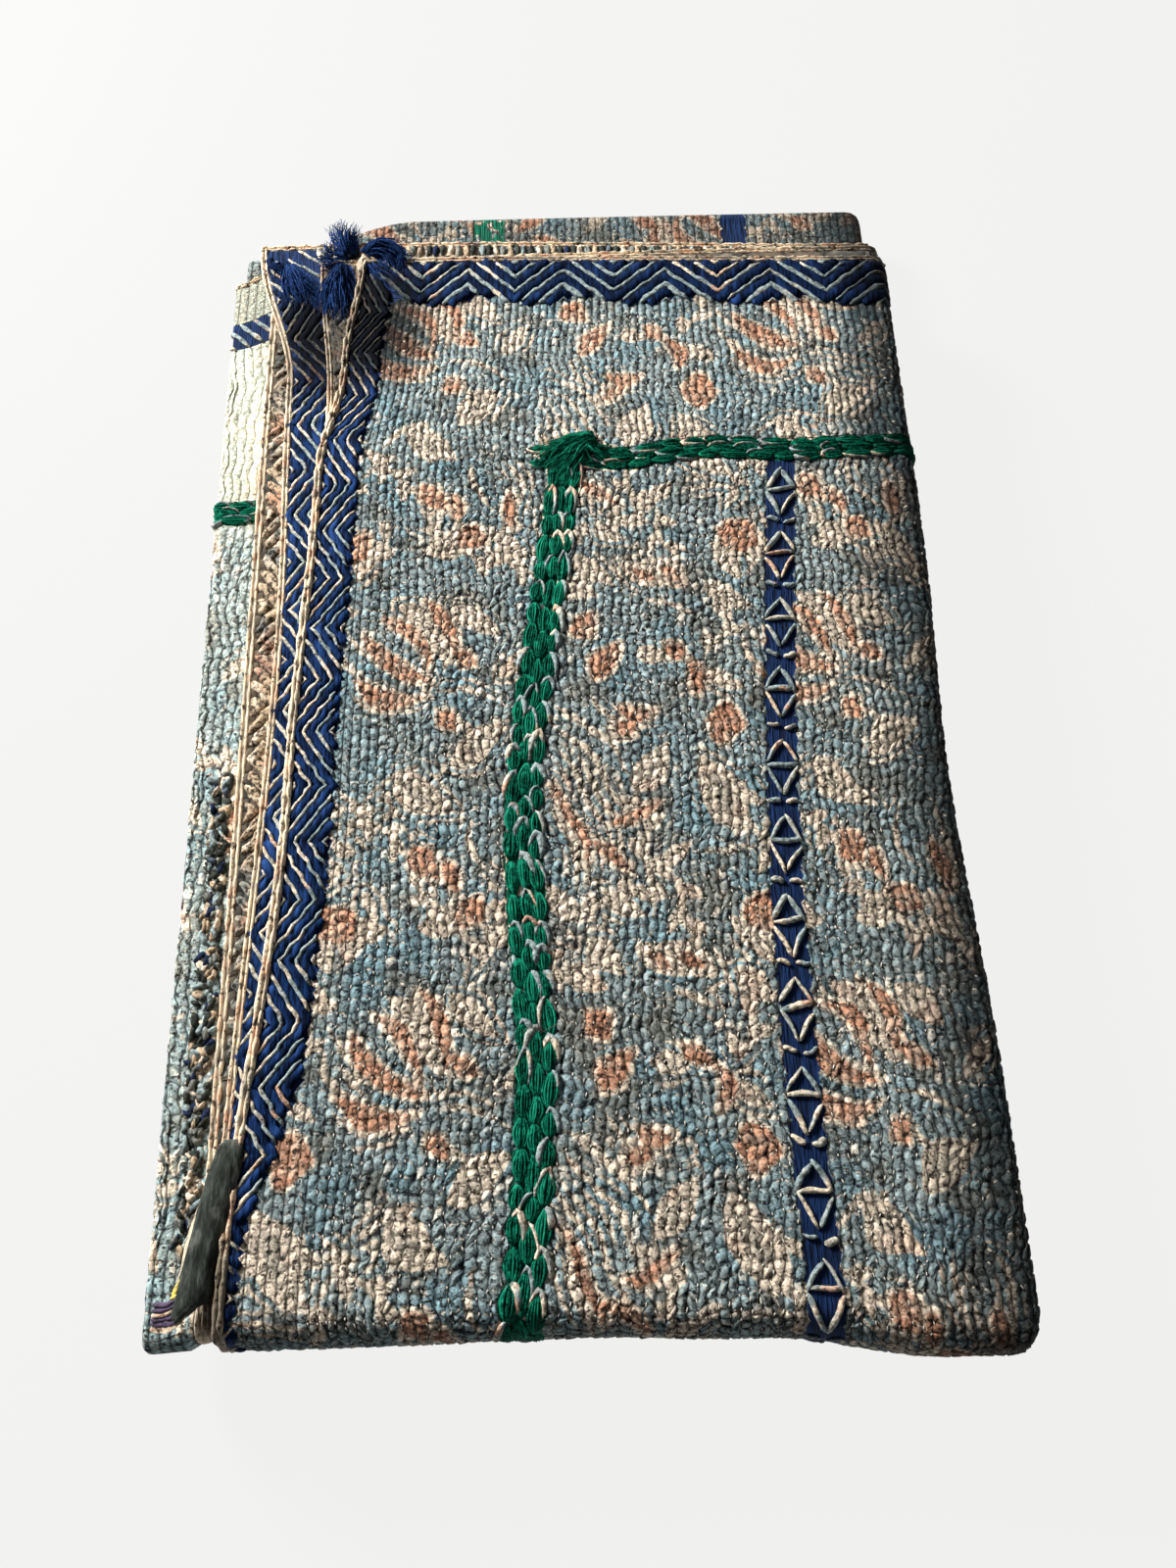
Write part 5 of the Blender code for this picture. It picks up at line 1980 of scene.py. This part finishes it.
def make_stage():
    """A pale floor that glows a little, a small key light from the left, a weak fill, and the camera."""
    scene = bpy.context.scene
    finish = Finish("studio_floor", 0.9, 0.0)
    finish.shader.inputs["Emission Color"].default_value = (0.97, 0.97, 0.96, 1)
    finish.shader.inputs["Emission Strength"].default_value = FLOOR_GLOW
    finish.colour(finish.mix(finish.spots(3, 2, 0.3, 0.7, 0, 0.2), tint("floor"), (0.012, 0.012, 0.012)))
    finish.bump(finish.noise(300, 2), 0.0001)
    cells = 16
    line = np.linspace(-FLOOR_REACH, FLOOR_REACH, cells + 1)
    grid_x, grid_y = np.meshgrid(line, line, indexing="ij")
    number = np.arange((cells + 1) ** 2).reshape(cells + 1, cells + 1)
    quads = np.stack([number[:-1, :-1], number[1:, :-1], number[1:, 1:], number[:-1, 1:]], -1).reshape(-1, 4)
    mesh = bpy.data.meshes.new("floor")
    points = np.stack([grid_x, grid_y, np.zeros_like(grid_x)], -1).reshape(-1, 3)
    mesh.from_pydata(points.tolist(), [], quads.tolist())
    mesh.materials.append(finish.material)
    floor = bpy.data.objects.new("floor", mesh)
    scene.collection.objects.link(floor)
    world = bpy.data.worlds.new("studio")
    world.use_nodes = True
    backdrop = world.node_tree.nodes["Background"]
    backdrop.inputs["Color"].default_value = (0.96, 0.965, 0.97, 1)
    backdrop.inputs["Strength"].default_value = DOME_STRENGTH
    scene.world = world
    for light in LIGHTS:
        add_light(light)
    scene.view_settings.view_transform = "Standard"
    data = bpy.data.cameras.new("camera")
    data.lens, data.sensor_width = LENS, SENSOR
    data.clip_start, data.clip_end = 0.01, 50
    scene.camera = bpy.data.objects.new("camera", data)
    pitch = math.radians(CAMERA_PITCH)
    level = [share * math.cos(pitch) for share in CAMERA_HEADING]
    stand(scene.camera, CAMERA_PLACE, (*level, -math.sin(pitch)))


OPERATORS = (
    KANTHA_OT_printed_face,
    KANTHA_OT_lining,
    KANTHA_OT_ridges,
    KANTHA_OT_green_frame,
    KANTHA_OT_hems,
    KANTHA_OT_stitches,
    KANTHA_OT_tufts,
    KANTHA_OT_mend,
    KANTHA_OT_stage,
)


class KANTHA_PT_quilt(bpy.types.Panel):
    """Lists the quilt's sizes, colours and pieces"""

    bl_idname = "KANTHA_PT_quilt"
    bl_label = "Kantha Quilt"
    bl_space_type = "VIEW_3D"
    bl_region_type = "UI"
    bl_category = "Quilt"

    def draw(self, context):
        for group in (context.scene.kantha_sizes, context.scene.kantha_colours):
            box = self.layout.box()
            for name in group.bl_rna.properties.keys():
                if name not in ("rna_type", "name"):
                    box.prop(group, name)
        column = self.layout.column(align=True)
        for operator in OPERATORS:
            column.operator(operator.bl_idname)


CLASSES = (KanthaSizes, KanthaColours, *OPERATORS, KANTHA_PT_quilt)


def register():
    for cls in CLASSES:
        bpy.utils.register_class(cls)
    bpy.types.Scene.kantha_sizes = bpy.props.PointerProperty(type=KanthaSizes)
    bpy.types.Scene.kantha_colours = bpy.props.PointerProperty(type=KanthaColours)


def unregister():
    del bpy.types.Scene.kantha_colours
    del bpy.types.Scene.kantha_sizes
    for cls in reversed(CLASSES):
        bpy.utils.unregister_class(cls)


def main():
    register()
    for operator in OPERATORS:
        group, name = operator.bl_idname.split(".")
        getattr(getattr(bpy.ops, group), name)()


if __name__ == "__main__":
    main()
